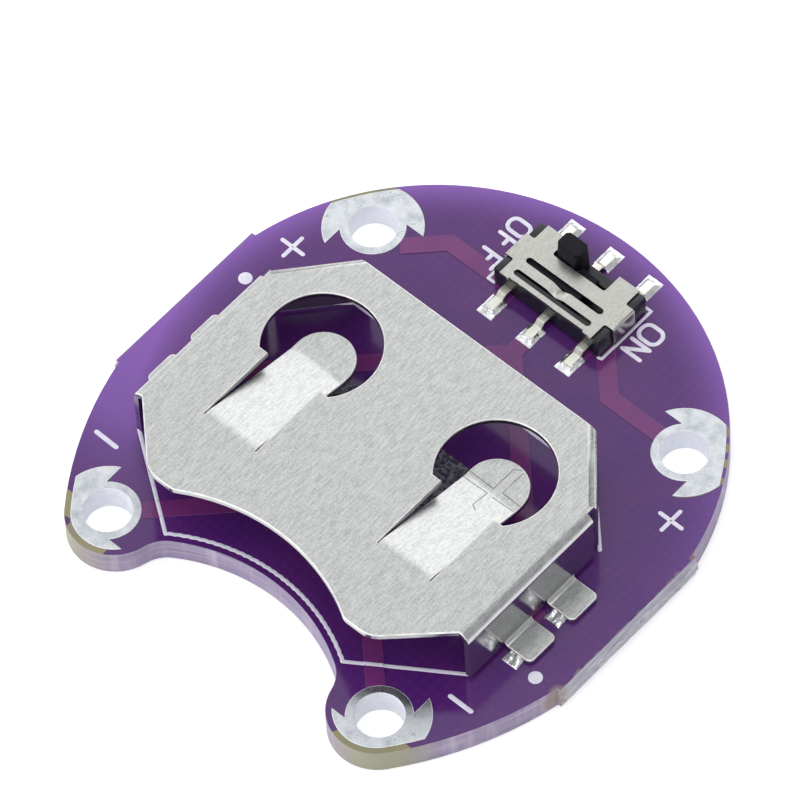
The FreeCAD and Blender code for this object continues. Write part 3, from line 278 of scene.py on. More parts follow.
def snapped_edge():
    """Snapped glass-epoxy: torn pale threads that run along the break, and a brown stain at its
    front end."""
    material, tree, space = new_material("snapped_glass_epoxy")
    place = add(tree, SPLIT, {"Vector": space}).outputs
    long_way = add(tree, MAPPING, {"Vector": space, "Scale": (3.0 / MM, 0.5 / MM, 5.0 / MM)})
    threads = add(tree, NOISE, {"Vector": long_way, "Scale": 1.0, "Detail": 6.0, "Roughness": 0.65})
    torn = add(tree, RAMP, {"Fac": threads}, [(0.3, "a09daf"), (0.5, "bab8c4"), (0.68, "dad9df")])
    end = add(tree, RANGE, {"Value": place["Y"], "From Min": -6.9 * MM, "From Max": -6.3 * MM,
                            "To Min": 0.75, "To Max": 0.0})
    colour = add(tree, MIX, {"Factor": end, COLOUR_A: torn, COLOUR_B: "9a8478"}, data_type="RGBA")
    normal = add(tree, BUMP, {"Height": threads, "Distance": 0.06 * MM, "Strength": 0.8})
    return close_material(material, tree, {"Base Color": colour, "Roughness": 0.45,
                                           "Normal": normal})


def glass_thread():
    """Loose ends of glass thread: clear, so they catch the light."""
    return mottled("glass_thread", 1.2 / MM, [(0.35, "c3c1cc"), (0.65, "e9e8ed")],
                   {"Roughness": 0.25}, 2.0)


def tab_plating():
    """Tin levelled with hot air: pale and satin, with cloudy patches and dark pin spots."""
    material, tree, space = new_material("levelled_tin_plating")
    cloud = add(tree, NOISE, {"Vector": space, "Scale": 1.2 / MM, "Detail": 6.0, "Roughness": 0.68})
    tin = add(tree, RAMP, {"Fac": cloud}, [(0.32, "b2b8be"), (0.5, "c9cdd1"), (0.66, "d6d9dc")])
    spots = add(tree, NOISE, {"Vector": space, "Scale": 3.5 / MM, "Detail": 2.0})
    spotted = add(tree, RANGE, {"Value": spots, "From Min": 0.68, "From Max": 0.76, "To Max": 0.6})
    colour = add(tree, MIX, {"Factor": spotted, COLOUR_A: tin, COLOUR_B: "858a90"},
                 data_type="RGBA")
    roughness = add(tree, RANGE, {"Value": cloud, "From Min": 0.3, "From Max": 0.7, "To Min": 0.2,
                                  "To Max": 0.34})
    normal = add(tree, BUMP, {"Height": cloud, "Distance": 0.02 * MM, "Strength": 0.5})
    return close_material(material, tree, {"Base Color": colour, "Roughness": roughness,
                                           "Metallic": 1.0, "Normal": normal})


def tab_rim_painted_highlight():
    """The tin's rounded rim, painted brighter than the plating where it meets the mask: a painted
    highlight that outlines each tab in white.
    """
    return mottled("tin_rim_painted_highlight", 1.6 / MM, [(0.3, "dde1e5"), (0.65, "f6f8fa")],
                   {"Roughness": 0.5, "Metallic": 0.2})


def hole_wall_painted_reflection():
    """Tin in the sew holes, painted a frosted bluish white: a painted reflection of the bright
    white floor.
    """
    return mottled("tin_hole_wall_painted_reflection", 2.0 / MM, [(0.3, "eef0fa"), (0.7, "fbfcff")],
                   {"Roughness": 0.6, "Metallic": 0.1})


def cell_pad_painted_shade():
    """Tin on the pad under the cell, painted dark as painted shade under the clip, with bright
    crystals painted in as glints.
    """
    material, tree, space = new_material("tinned_cell_pad_painted_shade")
    grain = add(tree, "ShaderNodeTexVoronoi", {"Vector": space, "Scale": 7.0 / MM,
                                               "Randomness": 1.0})
    tone = add(tree, "ShaderNodeSeparateColor", {"Color": grain.outputs["Color"]})
    # Painted shade and painted glints: dark grey tin with bright cells
    colour = add(tree, RAMP, {"Fac": tone}, [(0.25, "4c4a55"), (0.8, "918e9d")])
    ripple = add(tree, NOISE, {"Vector": space, "Scale": 1.8 / MM, "Detail": 4.0})
    normal = add(tree, BUMP, {"Height": ripple, "Distance": 0.03 * MM, "Strength": 0.4})
    return close_material(material, tree, {"Base Color": colour, "Roughness": 0.45, "Metallic": 0.6,
                                           "Normal": normal})


def clip_steel():
    """Stainless strip: the flat faces are brushed along the clip and look even and matt, and the
    bent walls are smoother and mirror the board. The real brush lines are about 0.02 mm apart. They
    are drawn 0.08 mm apart, so that they show."""
    material, tree, space = new_material("brushed_stainless_strip")
    brush_way = add(tree, MAPPING, {"Vector": space, "Scale": (12.0 / MM, 1.6 / MM, 3.0 / MM)})
    lines = add(tree, NOISE, {"Vector": brush_way, "Scale": 1.0, "Detail": 2.0, "Roughness": 0.5})
    speck = add(tree, NOISE, {"Vector": space, "Scale": 8.0 / MM, "Detail": 2.0})
    worn = add(tree, MIX, {"Factor": 0.45, VALUE_A: lines, VALUE_B: speck})
    brushed = add(tree, RAMP, {"Fac": worn}, [(0.36, "a9abaa"), (0.5, "bcbdbc"), (0.64, "cacbca")])
    facing = add(tree, "ShaderNodeNewGeometry").outputs["Normal"]
    facing_up = add(tree, SPLIT, {"Vector": facing}).outputs["Z"]
    upright = add(tree, MATH, {0: facing_up}, operation="ABSOLUTE")
    flat = add(tree, RANGE, {"Value": upright, "From Min": 0.2, "From Max": 0.6})
    colour = add(tree, MIX, {"Factor": flat, COLOUR_A: "c2c2c2", COLOUR_B: brushed},
                 data_type="RGBA")
    matt = add(tree, RANGE, {"Value": worn, "From Min": 0.35, "From Max": 0.65, "To Min": 0.28,
                             "To Max": 0.34})
    roughness = add(tree, MIX, {"Factor": flat, VALUE_A: 0.16, VALUE_B: matt})
    relief = add(tree, MATH, {0: worn, 1: flat}, operation="MULTIPLY")
    normal = add(tree, BUMP, {"Height": relief, "Distance": 0.003 * MM, "Strength": 0.5})
    return close_material(material, tree, {"Base Color": colour, "Roughness": roughness,
                                           "Metallic": 1.0, "Normal": normal})


def steel_edge_painted_highlight():
    """The strip's own cut edge, painted brighter than the strip: a painted highlight that
    outlines the clip in white.
    """
    return mottled("stainless_edge_painted_highlight", 2.2 / MM, [(0.3, "d4d4d2"), (0.6, "f0f0ee")],
                   {"Roughness": 0.42, "Metallic": 1.0})


def scribed_groove_shade():
    """The burr of a line scribed into the strip, painted darker than the strip: painted shade
    for the groove.
    """
    return mottled("scribed_stainless_painted_shade", 2.5 / MM, [(0.35, "5a5a58"), (0.65, "8f8f8d")],
                   {"Roughness": 0.5, "Metallic": 1.0})


def reflowed_solder():
    """Reflowed tin solder: a bright skin with soft dimples, that mirrors lamps and dark pieces."""
    material, tree, space = new_material("reflowed_solder")
    skin = add(tree, NOISE, {"Vector": space, "Scale": 1.6 / MM, "Detail": 3.0, "Roughness": 0.5})
    colour = add(tree, RAMP, {"Fac": skin}, [(0.35, "cfd1d3"), (0.65, "f0f1f2")])
    frost = add(tree, RANGE, {"Value": skin, "From Min": 0.35, "From Max": 0.65, "To Min": 0.12,
                              "To Max": 0.28})
    normal = add(tree, BUMP, {"Height": skin, "Distance": 0.06 * MM, "Strength": 0.6})
    return close_material(material, tree, {"Base Color": colour, "Roughness": frost,
                                           "Metallic": 1.0, "Normal": normal})


def pin_tin():
    """Tin on the brass switch pins: pale and satin, with the faint yellow of the brass."""
    material, tree, space = new_material("tinned_brass_pin")
    along = add(tree, MAPPING, {"Vector": space, "Scale": (6.0 / MM, 1.5 / MM, 3.0 / MM)})
    draw = add(tree, NOISE, {"Vector": along, "Scale": 1.0, "Detail": 3.0})
    colour = add(tree, RAMP, {"Fac": draw}, [(0.3, "d8d8cc"), (0.7, "e9e9de")])
    roughness = add(tree, RANGE, {"Value": draw, "From Min": 0.3, "From Max": 0.7, "To Min": 0.3,
                                  "To Max": 0.42})
    normal = add(tree, BUMP, {"Height": draw, "Distance": 0.006 * MM, "Strength": 0.5})
    return close_material(material, tree, {"Base Color": colour, "Roughness": roughness,
                                           "Metallic": 1.0, "Normal": normal})


def cover_sheet():
    """Nickel-silver cover: an even rolled grey with faint specks, smoother on its bent ends."""
    material, tree, space = new_material("nickel_silver_sheet")
    speck = add(tree, NOISE, {"Vector": space, "Scale": 9.0 / MM, "Detail": 3.0, "Roughness": 0.6})
    rolled_way = add(tree, MAPPING, {"Vector": space, "Scale": (12.0 / MM, 2.0 / MM, 2.0 / MM)})
    rolled = add(tree, NOISE, {"Vector": rolled_way, "Scale": 1.0, "Detail": 2.0})
    both = add(tree, MIX, {"Factor": 0.4, VALUE_A: speck, VALUE_B: rolled})
    grey = add(tree, RAMP, {"Fac": both}, [(0.34, "a8a8a2"), (0.5, "b6b6b0"), (0.66, "bfbfb9")])
    facing = add(tree, "ShaderNodeNewGeometry").outputs["Normal"]
    facing_up = add(tree, SPLIT, {"Vector": facing}).outputs["Z"]
    flat = add(tree, RANGE, {"Value": facing_up, "From Min": 0.3, "From Max": 0.8})
    matt = add(tree, RANGE, {"Value": both, "From Min": 0.35, "From Max": 0.65, "To Min": 0.28,
                             "To Max": 0.36})
    roughness = add(tree, MIX, {"Factor": flat, VALUE_A: 0.2, VALUE_B: matt})
    normal = add(tree, BUMP, {"Height": both, "Distance": 0.003 * MM, "Strength": 0.5})
    return close_material(material, tree, {"Base Color": grey, "Roughness": roughness,
                                           "Metallic": 1.0, "Normal": normal})


def housing_nylon():
    """Moulded nylon filled with short glass: slate black, with a soft shine and a flow grain."""
    material, tree, space = new_material("black_glass_filled_nylon")
    flow = add(tree, NOISE, {"Vector": space, "Scale": 1.5 / MM, "Detail": 4.0})
    colour = add(tree, RAMP, {"Fac": flow}, [(0.3, "0f1118"), (0.7, "181b24")])
    roughness = add(tree, RANGE, {"Value": flow, "From Min": 0.3, "From Max": 0.7, "To Min": 0.26,
                                  "To Max": 0.38})
    normal = add(tree, BUMP, {"Height": flow, "Distance": 0.02 * MM, "Strength": 0.5})
    return close_material(material, tree, {"Base Color": colour, "Roughness": roughness,
                                           "Normal": normal})


def knob_acetal():
    """Black acetal, spark-finished in the mould: a near-matt blue black."""
    material, tree, space = new_material("black_satin_acetal")
    grain = add(tree, NOISE, {"Vector": space, "Scale": 6.0 / MM, "Detail": 3.0})
    colour = add(tree, RAMP, {"Fac": grain}, [(0.3, "0c0c14"), (0.7, "12131d")])
    roughness = add(tree, RANGE, {"Value": grain, "From Min": 0.3, "From Max": 0.7, "To Min": 0.45,
                                  "To Max": 0.58})
    normal = add(tree, BUMP, {"Height": grain, "Distance": 0.006 * MM, "Strength": 0.5})
    return close_material(material, tree, {"Base Color": colour, "Roughness": roughness,
                                           "Normal": normal, "Specular IOR Level": 0.18})


def screen_ink():
    """White epoxy ink, screened on the purple mask, which tints it faintly lavender."""
    material, tree, space = new_material("white_screen_ink")
    grain = add(tree, NOISE, {"Vector": space, "Scale": 2.5 / MM, "Detail": 3.0})
    colour = add(tree, RAMP, {"Fac": grain}, [(0.3, "d9d6e8"), (0.7, "ebe9f4")])
    normal = add(tree, BUMP, {"Height": grain, "Distance": 0.01 * MM, "Strength": 0.5})
    return close_material(material, tree, {"Base Color": colour, "Roughness": 0.45,
                                           "Normal": normal})


def wiper_bronze():
    """Phosphor-bronze wiper strip: warm and bright, with fine roll lines."""
    material, tree, space = new_material("phosphor_bronze")
    along = add(tree, MAPPING, {"Vector": space, "Scale": (0.8 / MM, 7.0 / MM, 3.0 / MM)})
    roll = add(tree, NOISE, {"Vector": along, "Scale": 1.0, "Detail": 3.0})
    colour = add(tree, RAMP, {"Fac": roll}, [(0.3, "b58e55"), (0.7, "cfae74")])
    return close_material(material, tree, {"Base Color": colour, "Roughness": 0.3, "Metallic": 1.0})


MASK = solder_mask()
COPPER = masked_copper()
ROUTED = routed_edge()
SNAPPED = snapped_edge()
THREAD = glass_thread()
PLATING = tab_plating()
TAB_RIM_HIGHLIGHT = tab_rim_painted_highlight()
HOLE_WALL_REFLECTION = hole_wall_painted_reflection()
CELL_PAD_SHADED = cell_pad_painted_shade()
STEEL = clip_steel()
EDGE_HIGHLIGHT = steel_edge_painted_highlight()
SCRIBED_SHADE = scribed_groove_shade()
SOLDER = reflowed_solder()
PIN = pin_tin()
COVER = cover_sheet()
NYLON = housing_nylon()
ACETAL = knob_acetal()
INK = screen_ink()
BRONZE = wiper_bronze()


# Mesh helpers: each finished piece is its frame node's own shape with the edges eased

MERGE_WITHIN = 0.0005 * MM
FLAT_DEGREES = 0.6
LARGE_FACE_WEIGHT = 90


def merged_mesh(node):
    """The node's triangles as one closed mesh, with its flat faces put back together."""
    mesh = bmesh.new()
    mesh.from_mesh(NODES[node].data)
    bmesh.ops.remove_doubles(mesh, verts=mesh.verts, dist=MERGE_WITHIN)
    bmesh.ops.dissolve_limit(mesh, angle_limit=math.radians(FLAT_DEGREES), verts=mesh.verts,
                             edges=mesh.edges)
    return mesh


def sharp_edges(mesh, degrees=25.0):
    """The edges where two faces meet at more than this angle."""
    limit = math.radians(degrees)
    return [e for e in mesh.edges if len(e.link_faces) == 2 and e.calc_face_angle(0.0) > limit]


def upper_edges(mesh):
    """The outer edges of the faces that look up, the ones that the light catches."""
    found = []
    for edge in mesh.edges:
        if len(edge.link_faces) == 2:
            side, top = sorted(face.normal.z for face in edge.link_faces)
            if top > 0.6 and abs(side) < 0.3 and edge.calc_face_angle(0.0) > math.radians(60):
                found.append(edge)
    return found


def ease(mesh, edges, width_mm, segments=2, finish=-1, clamped=True):
    """Round edges over, by a radius of about width_mm, in the finish with this number."""
    if edges:
        bmesh.ops.bevel(mesh, geom=edges, offset=width_mm * MM, segments=segments, profile=0.5,
                        affect="EDGES", clamp_overlap=clamped, offset_type="OFFSET",
                        material=finish)


def finish_piece(name, mesh, materials, body, node=None, smooth_degrees=35.0):
    """Make an object of a mesh, shade it smooth but for its sharp edges with its flat faces kept
    flat, and tie it to the frame."""
    data = bpy.data.meshes.new(name)
    for face in mesh.faces:
        face.smooth = True
    mesh.to_mesh(data)
    mesh.free()
    data.set_sharp_from_angle(angle=math.radians(smooth_degrees))
    for material in materials:
        data.materials.append(material)
    piece = bpy.data.objects.new(name, data)
    bpy.context.collection.objects.link(piece)
    firm = piece.modifiers.new("large_faces_lead", "WEIGHTED_NORMAL")
    firm.keep_sharp = True
    firm.weight = LARGE_FACE_WEIGHT
    shaded = piece.evaluated_get(bpy.context.evaluated_depsgraph_get())
    piece.data = bpy.data.meshes.new_from_object(shaded)
    piece.modifiers.clear()
    if node:
        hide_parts(node)
    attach(piece, body)
    return piece


def dressed(node, name, material, body, width_mm, segments=2):
    """Finish a node in one material, with all its sharp edges eased."""
    mesh = merged_mesh(node)
    ease(mesh, sharp_edges(mesh), width_mm, segments)
    return finish_piece(name, mesh, [material], body, node)


# Board: masked faces, a routed edge all round, and the ragged snapped flats

MASKED_FACE, ROUTED_FACE, SNAPPED_FACE = 0, 1, 2
LONG_EDGE = 5 * MM
BREAK_CUTS = 150
BREAK_TOP = 1.47 * MM
RIDGE_DEPTH = 0.13
FLAT_DEPTH = 0.06
RIDGE_WAVE = 0.05

board = merged_mesh("circuit_board")
ease(board, sharp_edges(board, 40.0), 0.025, 1)
long_edges = [e for e in board.edges if min(abs(v.co.x) for v in e.verts) > FLAT_FACE
              and abs(e.verts[0].co.y - e.verts[1].co.y) > LONG_EDGE]
bmesh.ops.subdivide_edges(board, edges=long_edges, cuts=BREAK_CUTS, use_grid_fill=True)
for vertex in board.verts:
    side = vertex.co.x
    if abs(side) > FLAT_FACE and vertex.co.z < BREAK_TOP:
        spot = Vector((side * 40, vertex.co.y, vertex.co.z)) / MM
        torn = 0.5 + 0.5 * noise.noise(spot * 1.3) + 0.35 * noise.noise(spot * 4.1)
        depth = RIDGE_DEPTH if abs(side) > RIDGE_FACE else FLAT_DEPTH
        vertex.co.x -= math.copysign(depth * MM * min(max(torn, 0.0), 1.0), side)
        if abs(side) > RIDGE_FACE:
            vertex.co.z += RIDGE_WAVE * MM * noise.noise(spot * 2.3 + Vector((0, 9, 0)))
board.normal_update()
for face in board.faces:
    centre = face.calc_center_median()
    if abs(face.normal.z) > 0.9 and min(centre.z, BOARD_TOP - centre.z) < 0.01 * MM:
        face.material_index = MASKED_FACE
    elif abs(centre.x) > FLAT_FACE and FLAT_FRONT < centre.y < FLAT_BACK:
        face.material_index = SNAPPED_FACE
    else:
        face.material_index = ROUTED_FACE
finish_piece("board_laminate", board, [MASK, ROUTED, SNAPPED], "board", "circuit_board")

TRACKS = ["track_plus_left", "track_plus_right", "track_switch_to_clip", "track_minus_left",
          "track_minus_right"]
for node in TRACKS:
    dressed(node, node + "_foil", COPPER, "board", 0.03, 2)
# The cell pad is painted dark, as painted shade under the clip
dressed("cell_negative_pad", "cell_pad_foil", CELL_PAD_SHADED, "board", 0.015)

# The eased upper edges are in the second finish, a painted highlight, and the walls of the
# sew holes in the third, a painted reflection of the white floor
TAB_HIGHLIGHT_FACE, TAB_WALL_FACE = 1, 2
WALL_DEPTH = 0.2 * MM
for place in ("plus_left", "plus_right", "minus_left", "minus_right"):
    tab = merged_mesh("sew_tab_" + place)
    # The eased rim takes the painted highlight finish
    ease(tab, upper_edges(tab), 0.035, 2, TAB_HIGHLIGHT_FACE, False)
    # The hole walls take the painted reflection finish of the white floor
    for face in tab.faces:
        if abs(face.normal.z) < 0.5 and min(v.co.z for v in face.verts) < BOARD_TOP - WALL_DEPTH:
            face.material_index = TAB_WALL_FACE
    finish_piece(f"sew_tab_{place}_plating", tab, [PLATING, TAB_RIM_HIGHLIGHT, HOLE_WALL_REFLECTION], "board",
                 "sew_tab_" + place)

# The clip's outline is eased, but for the plate's back corners, which are too tight for it.
# The eased outline is painted brighter, as a painted highlight
CORNER_X, CORNER_Y, CORNER_Z = 9.9 * MM, -6 * MM, 3 * MM
HIGHLIGHT_EDGE_FACE = 1


def at_back_corner(vertex):
    """Whether the vertex is at one of the plate's back corners."""
    x, y, z = vertex.co
    return abs(x) >= CORNER_X and y >= CORNER_Y and z >= CORNER_Z


clip = merged_mesh("cell_clip")
outline = [e for e in upper_edges(clip) if not any(at_back_corner(v) for v in e.verts)]
ease(clip, outline, 0.06, 3, HIGHLIGHT_EDGE_FACE, False)
finish_piece("cell_clip_strip", clip, [STEEL, EDGE_HIGHLIGHT], "board", "cell_clip")


# Rules for lines and threads that follow a path

def new_rule(name, inputs):
    """An empty geometry node tree with these named inputs, and its input node's outputs."""
    tree = bpy.data.node_groups.new(name, "GeometryNodeTree")
    for socket, kind in inputs:
        tree.interface.new_socket(socket, in_out="INPUT", socket_type="NodeSocket" + kind)
    tree.interface.new_socket("Made", in_out="OUTPUT", socket_type="NodeSocketGeometry")
    return tree, add(tree, "NodeGroupInput").outputs


def close_rule(tree, instances, finish):
    """Turn what a rule made to plain mesh, in its finish."""
    solid = add(tree, "GeometryNodeRealizeInstances", {"Geometry": instances})
    covered = add(tree, "GeometryNodeSetMaterial", {"Geometry": solid, "Material": finish})
    add(tree, "NodeGroupOutput", {"Made": covered})
    return tree


def line_rule():
    """Soft flat lines along the paths, with round ends, corners and an uneven width."""
    tree, entry = new_rule("drawn_line", [("Paths", "Geometry"), ("Line width", "Float"),
                                          ("Line height", "Float"), ("Unevenness", "Float"),
                                          ("Seed", "Float"), ("Finish", "Material")])
    half = add(tree, MATH, {0: entry["Line width"], 1: 0.5}, operation="MULTIPLY")
    stepped = add(tree, "GeometryNodeResampleCurve", {"Curve": entry["Paths"], "Length": 0.06 * MM},
                  mode="LENGTH")
    level = add(tree, "GeometryNodeSetCurveNormal", {"Curve": stepped}, mode="Z_UP")
    position = add(tree, "GeometryNodeInputPosition")
    field = add(tree, NOISE, {"Vector": position, "W": entry["Seed"], "Scale": 2.6 / MM,
                              "Detail": 2.0}, noise_dimensions="4D")
    centred = add(tree, MATH, {0: field, 1: 0.5}, operation="SUBTRACT")
    swell = add(tree, MATH, {0: centred, 1: entry["Unevenness"]}, operation="MULTIPLY")
    size = add(tree, MATH, {0: swell, 1: 1.0}, operation="ADD")
    sized = add(tree, "GeometryNodeSetCurveRadius", {"Curve": level, "Radius": size})
    ring = add(tree, "GeometryNodeCurvePrimitiveCircle", {"Resolution": 10, "Radius": 1.0})
    section = add(tree, JOIN, {"X": half, "Y": entry["Line height"], "Z": 1.0})
    profile = add(tree, "GeometryNodeTransform", {"Geometry": ring, "Scale": section})
    lines = add(tree, "GeometryNodeCurveToMesh", {"Curve": sized, "Profile Curve": profile,
                                                  "Fill Caps": True})
    bead = add(tree, "GeometryNodeMeshUVSphere", {"Segments": 14, "Rings": 6, "Radius": 1.0})
    bead_size = add(tree, JOIN, {"X": half, "Y": half, "Z": entry["Line height"]})
    ends = add(tree, "GeometryNodeInstanceOnPoints", {"Points": entry["Paths"], "Instance": bead,
                                                      "Scale": bead_size})
    both = add(tree, "GeometryNodeJoinGeometry", {"Geometry": lines})
    tree.links.new(ends.outputs["Instances"], both.inputs["Geometry"])
    return close_rule(tree, both, entry["Finish"])


def thread_rule():
    """Loose thread ends scattered along the path, each lying nearly along Y at its own turn."""
    tree, entry = new_rule("loose_threads", [("Path", "Geometry"), ("Thread count", "Int"),
                                             ("Thread length", "Float"), ("Thread radius", "Float"),
                                             ("Scatter", "Vector"), ("Seed", "Int"),
                                             ("Finish", "Material")])
    spots = add(tree, "GeometryNodeResampleCurve", {"Curve": entry["Path"],
                                                    "Count": entry["Thread count"]}, mode="COUNT")
    back = add(tree, VECTOR_MATH, {0: entry["Scatter"], 1: (-1.0, -1.0, -1.0)},
               operation="MULTIPLY")
    shift = add(tree, RANDOM, {0: back, 1: entry["Scatter"], "Seed": entry["Seed"]},
                data_type="FLOAT_VECTOR")
    moved = add(tree, "GeometryNodeSetPosition", {"Geometry": spots, "Offset": shift})
    next_seed = add(tree, MATH, {0: entry["Seed"], 1: 1.0}, operation="ADD")
    turn = add(tree, RANDOM, {0: (1.42, -0.1, -0.1), 1: (1.72, 0.1, 0.1), "Seed": next_seed},
               data_type="FLOAT_VECTOR")
    stretch = add(tree, RANDOM, {0: (1.0, 1.0, 0.4), 1: (1.5, 1.5, 1.3), "Seed": next_seed},
                  data_type="FLOAT_VECTOR")
    thread = add(tree, "GeometryNodeMeshCylinder", {"Vertices": 6, "Radius": entry["Thread radius"],
                                                    "Depth": entry["Thread length"]})
    placed = add(tree, "GeometryNodeInstanceOnPoints", {"Points": moved, "Instance": thread,
                                                        "Rotation": turn, "Scale": stretch})
    return close_rule(tree, placed, entry["Finish"])


def follow(name, rule, paths, values, ground=None):
    """Run a rule over paths, each (closed, points in millimetres), and lay what it makes on the
    ground."""
    curve = bpy.data.curves.new(name + "_paths", "CURVE")
    curve.dimensions = "3D"
    for closed, points in paths:
        spline = curve.splines.new("POLY")
        spline.points.add(len(points) - 1)
        for spot, point in zip(spline.points, points):
            x, y, z = (*point, 0.0)[:3]
            spot.co = (x * MM, y * MM, z * MM, 1.0)
        spline.use_cyclic_u = closed
    source = bpy.data.objects.new(name + "_source", curve)
    bpy.context.collection.objects.link(source)
    modifier = source.modifiers.new("rule", "NODES")
    modifier.node_group = rule
    for item in rule.interface.items_tree:
        if item.name in values:
            modifier[item.identifier] = values[item.name]
    shown = source.evaluated_get(bpy.context.evaluated_depsgraph_get())
    made = bpy.data.meshes.new_from_object(shown)
    source.modifiers.clear()
    bpy.data.objects.remove(source)
    if ground:
        for vertex in made.vertices:
            vertex.co.z += ground(vertex.co.x, vertex.co.y)
    mesh = bmesh.new()
    mesh.from_mesh(made)
    return finish_piece(name, mesh, [values["Finish"]], "board", None)


LINE = line_rule()
THREADS = thread_rule()


def surface_of(nodes):
    """A function for the height of the highest of these pieces at x, y, or None beside them."""
    trees = []
    for node in nodes:
        mesh = bmesh.new()
        mesh.from_mesh(NODES[node].data)
        trees.append(BVHTree.FromBMesh(mesh))
        mesh.free()

    def height(x, y):
        hits = [tree.ray_cast(Vector((x, y, 20 * MM)), Vector((0, 0, -1)))[0] for tree in trees]
        return max((hit.z for hit in hits if hit), default=None)
    return height


foil_height = surface_of(TRACKS)


def board_surface(x, y):
    """The height that the print lies on: a track's top where there is one, or the board's."""
    return foil_height(x, y) or BOARD_TOP


INK_HEIGHT = 0.018 * MM


def printed(name, paths, width_mm, unevenness=0.15, seed=1.0):
    """Print lines on the board in white ink."""
    follow(name, LINE, paths, {"Line width": width_mm * MM, "Line height": INK_HEIGHT,
                               "Unevenness": unevenness, "Seed": seed, "Finish": INK},
           board_surface)


# Screened print. The letters stand with their tops toward +X and read toward -Y.

def placed_letter(strokes, x, y):
    """Strokes in (along the line, up) become strokes in (x, y)."""
    return [(closed, [(x + up, y - along) for along, up in points]) for closed, points in strokes]


def letter_o(width, height, corner):
    """An O with rounded corners of this radius."""
    ring = []
    for middle_x, middle_y, start in ((width - corner, height - corner, 0),
                                      (corner, height - corner, 90), (corner, corner, 180),
                                      (width - corner, corner, 270)):
        for turn in range(0, 91, 18):
            angle = math.radians(start + turn)
            ring.append((middle_x + corner * math.cos(angle), middle_y + corner * math.sin(angle)))
    return [(True, ring)]


LETTER_TOP = 1.14
LETTER_F = [(False, [(0, 0), (0, LETTER_TOP), (0.78, LETTER_TOP)]),
            (False, [(0, 0.6), (0.42, 0.6)])]
LETTER_N = [(False, [(0, 0), (0, LETTER_TOP), (0.73, 0), (0.73, LETTER_TOP)])]
letters = []
for strokes, x, y in ((letter_o(0.8, 1.21, 0.36), -5.26, 12.24), (LETTER_F, -5.2, 11.05),
                      (LETTER_F, -5.2, 9.86), (letter_o(0.94, 1.2, 0.4), 3.85, 11.76),
                      (LETTER_N, 3.88, 10.53)):
    letters += placed_letter(strokes, x, y)
printed("print_on_and_off", letters, 0.22)

SIGN_ARM = 0.68
signs = []
for x, y in ((-12.40, 3.72), (12.24, 3.81)):
    signs += [(False, [(x - SIGN_ARM, y), (x + SIGN_ARM, y)]),
              (False, [(x, y - SIGN_ARM), (x, y + SIGN_ARM)])]
printed("print_plus_signs", signs, 0.22)
printed("print_minus_signs", [(False, [(-12.38, -10.52), (-11.05, -10.55)]),
                              (False, [(10.72, -10.49), (12.03, -10.49)])], 0.25)

# Each dot is two rings, one inside the other
DOT_STEPS = 24
dots = []
for x, y in ((-12.93, 0.83), (13.12, -7.07)):
    for radius in (0.26, 0.1):
        ring = [(x + radius * math.cos(math.tau * n / DOT_STEPS),
                 y + radius * math.sin(math.tau * n / DOT_STEPS)) for n in range(DOT_STEPS)]
        dots.append((True, ring))
printed("print_dots", dots, 0.2, 0.0)

# The clip's outline follows the thumb notch in front, with a stepped edge as screened, and its stop
# walls at the back
NOTCH_LEFT, NOTCH_RIGHT, NOTCH_STEPS = -5.84, 5.5, 90
NOTCH_CENTRE_Y, NOTCH_RADIUS, NOTCH_SWAY = -21.25, 10.42, 0.016
notch_run = []
for step in range(NOTCH_STEPS + 1):
    x = NOTCH_LEFT + (NOTCH_RIGHT - NOTCH_LEFT) * step / NOTCH_STEPS
    sway = NOTCH_SWAY if step % 3 else -NOTCH_SWAY
    notch_run.append((x, NOTCH_CENTRE_Y + math.sqrt((NOTCH_RADIUS + sway) ** 2 - x ** 2)))
front_run = [(-10.9, -8.7), (-10.9, -9.06)] + notch_run + [(10.57, -9.03), (10.6, -8.6)]
back_run = [(-10.8, 0.7), (-7.85, 3.24), (7.85, 3.22), (10.73, 0.33)]
printed("print_clip_outline", [(False, front_run), (False, back_run)], 0.2, 1.3, 4.0)
brackets = [(False, [(3.24, 12.33), (3.56, 12.33), (3.56, 8.64), (3.38, 8.6)]),
            (False, [(-3.5, 12.33), (-3.82, 12.33), (-3.82, 8.6), (-3.45, 8.6)])]
printed("print_switch_brackets", brackets, 0.17)

# A plus is scribed on the right tongue as an outline that runs off the strip's edges, drawn
# in dark lines of painted groove shade
plus_lines = [[(4.06, -1.48), (5.6, -1.5), (5.6, -0.04), (5.9, 0.12)],
              [(6.1, 0.08), (6.09, -1.4), (7.22, -1.43)],
              [(4.06, -1.94), (5.55, -1.9), (5.54, -2.94), (5.88, -3.12)],
              [(5.9, -1.92), (7.17, -1.87)]]
follow("tongue_scribed_plus", LINE, [(False, points) for points in plus_lines],
       {"Line width": 0.045 * MM, "Line height": 0.003 * MM, "Unevenness": 0.6, "Seed": 2.0,
        "Finish": SCRIBED_SHADE}, surface_of(["cell_clip"]))

# Loose glass threads hang along both snapped flats, at half the board's height
THREAD_X, THREAD_FRONT, THREAD_BACK, THREAD_Z = 14.62, -6.6, 2.8, 0.75
breaks = [(False, [(side * THREAD_X, THREAD_FRONT, THREAD_Z),
                   (side * THREAD_X, THREAD_BACK, THREAD_Z)]) for side in (-1, 1)]
thread_values = {"Thread count": 110, "Thread length": 0.6 * MM, "Thread radius": 0.012 * MM,
                 "Scatter": (0.03 * MM, 0.1 * MM, 0.24 * MM), "Seed": 7, "Finish": THREAD}
follow("snapped_thread_ends", THREADS, breaks, thread_values)


# Solder: a skin that climbs from the pad's edge to the metal it holds. Heights are in millimetres.

PAD_EDGE = 0.012
LEAST_SOLDER = 0.014


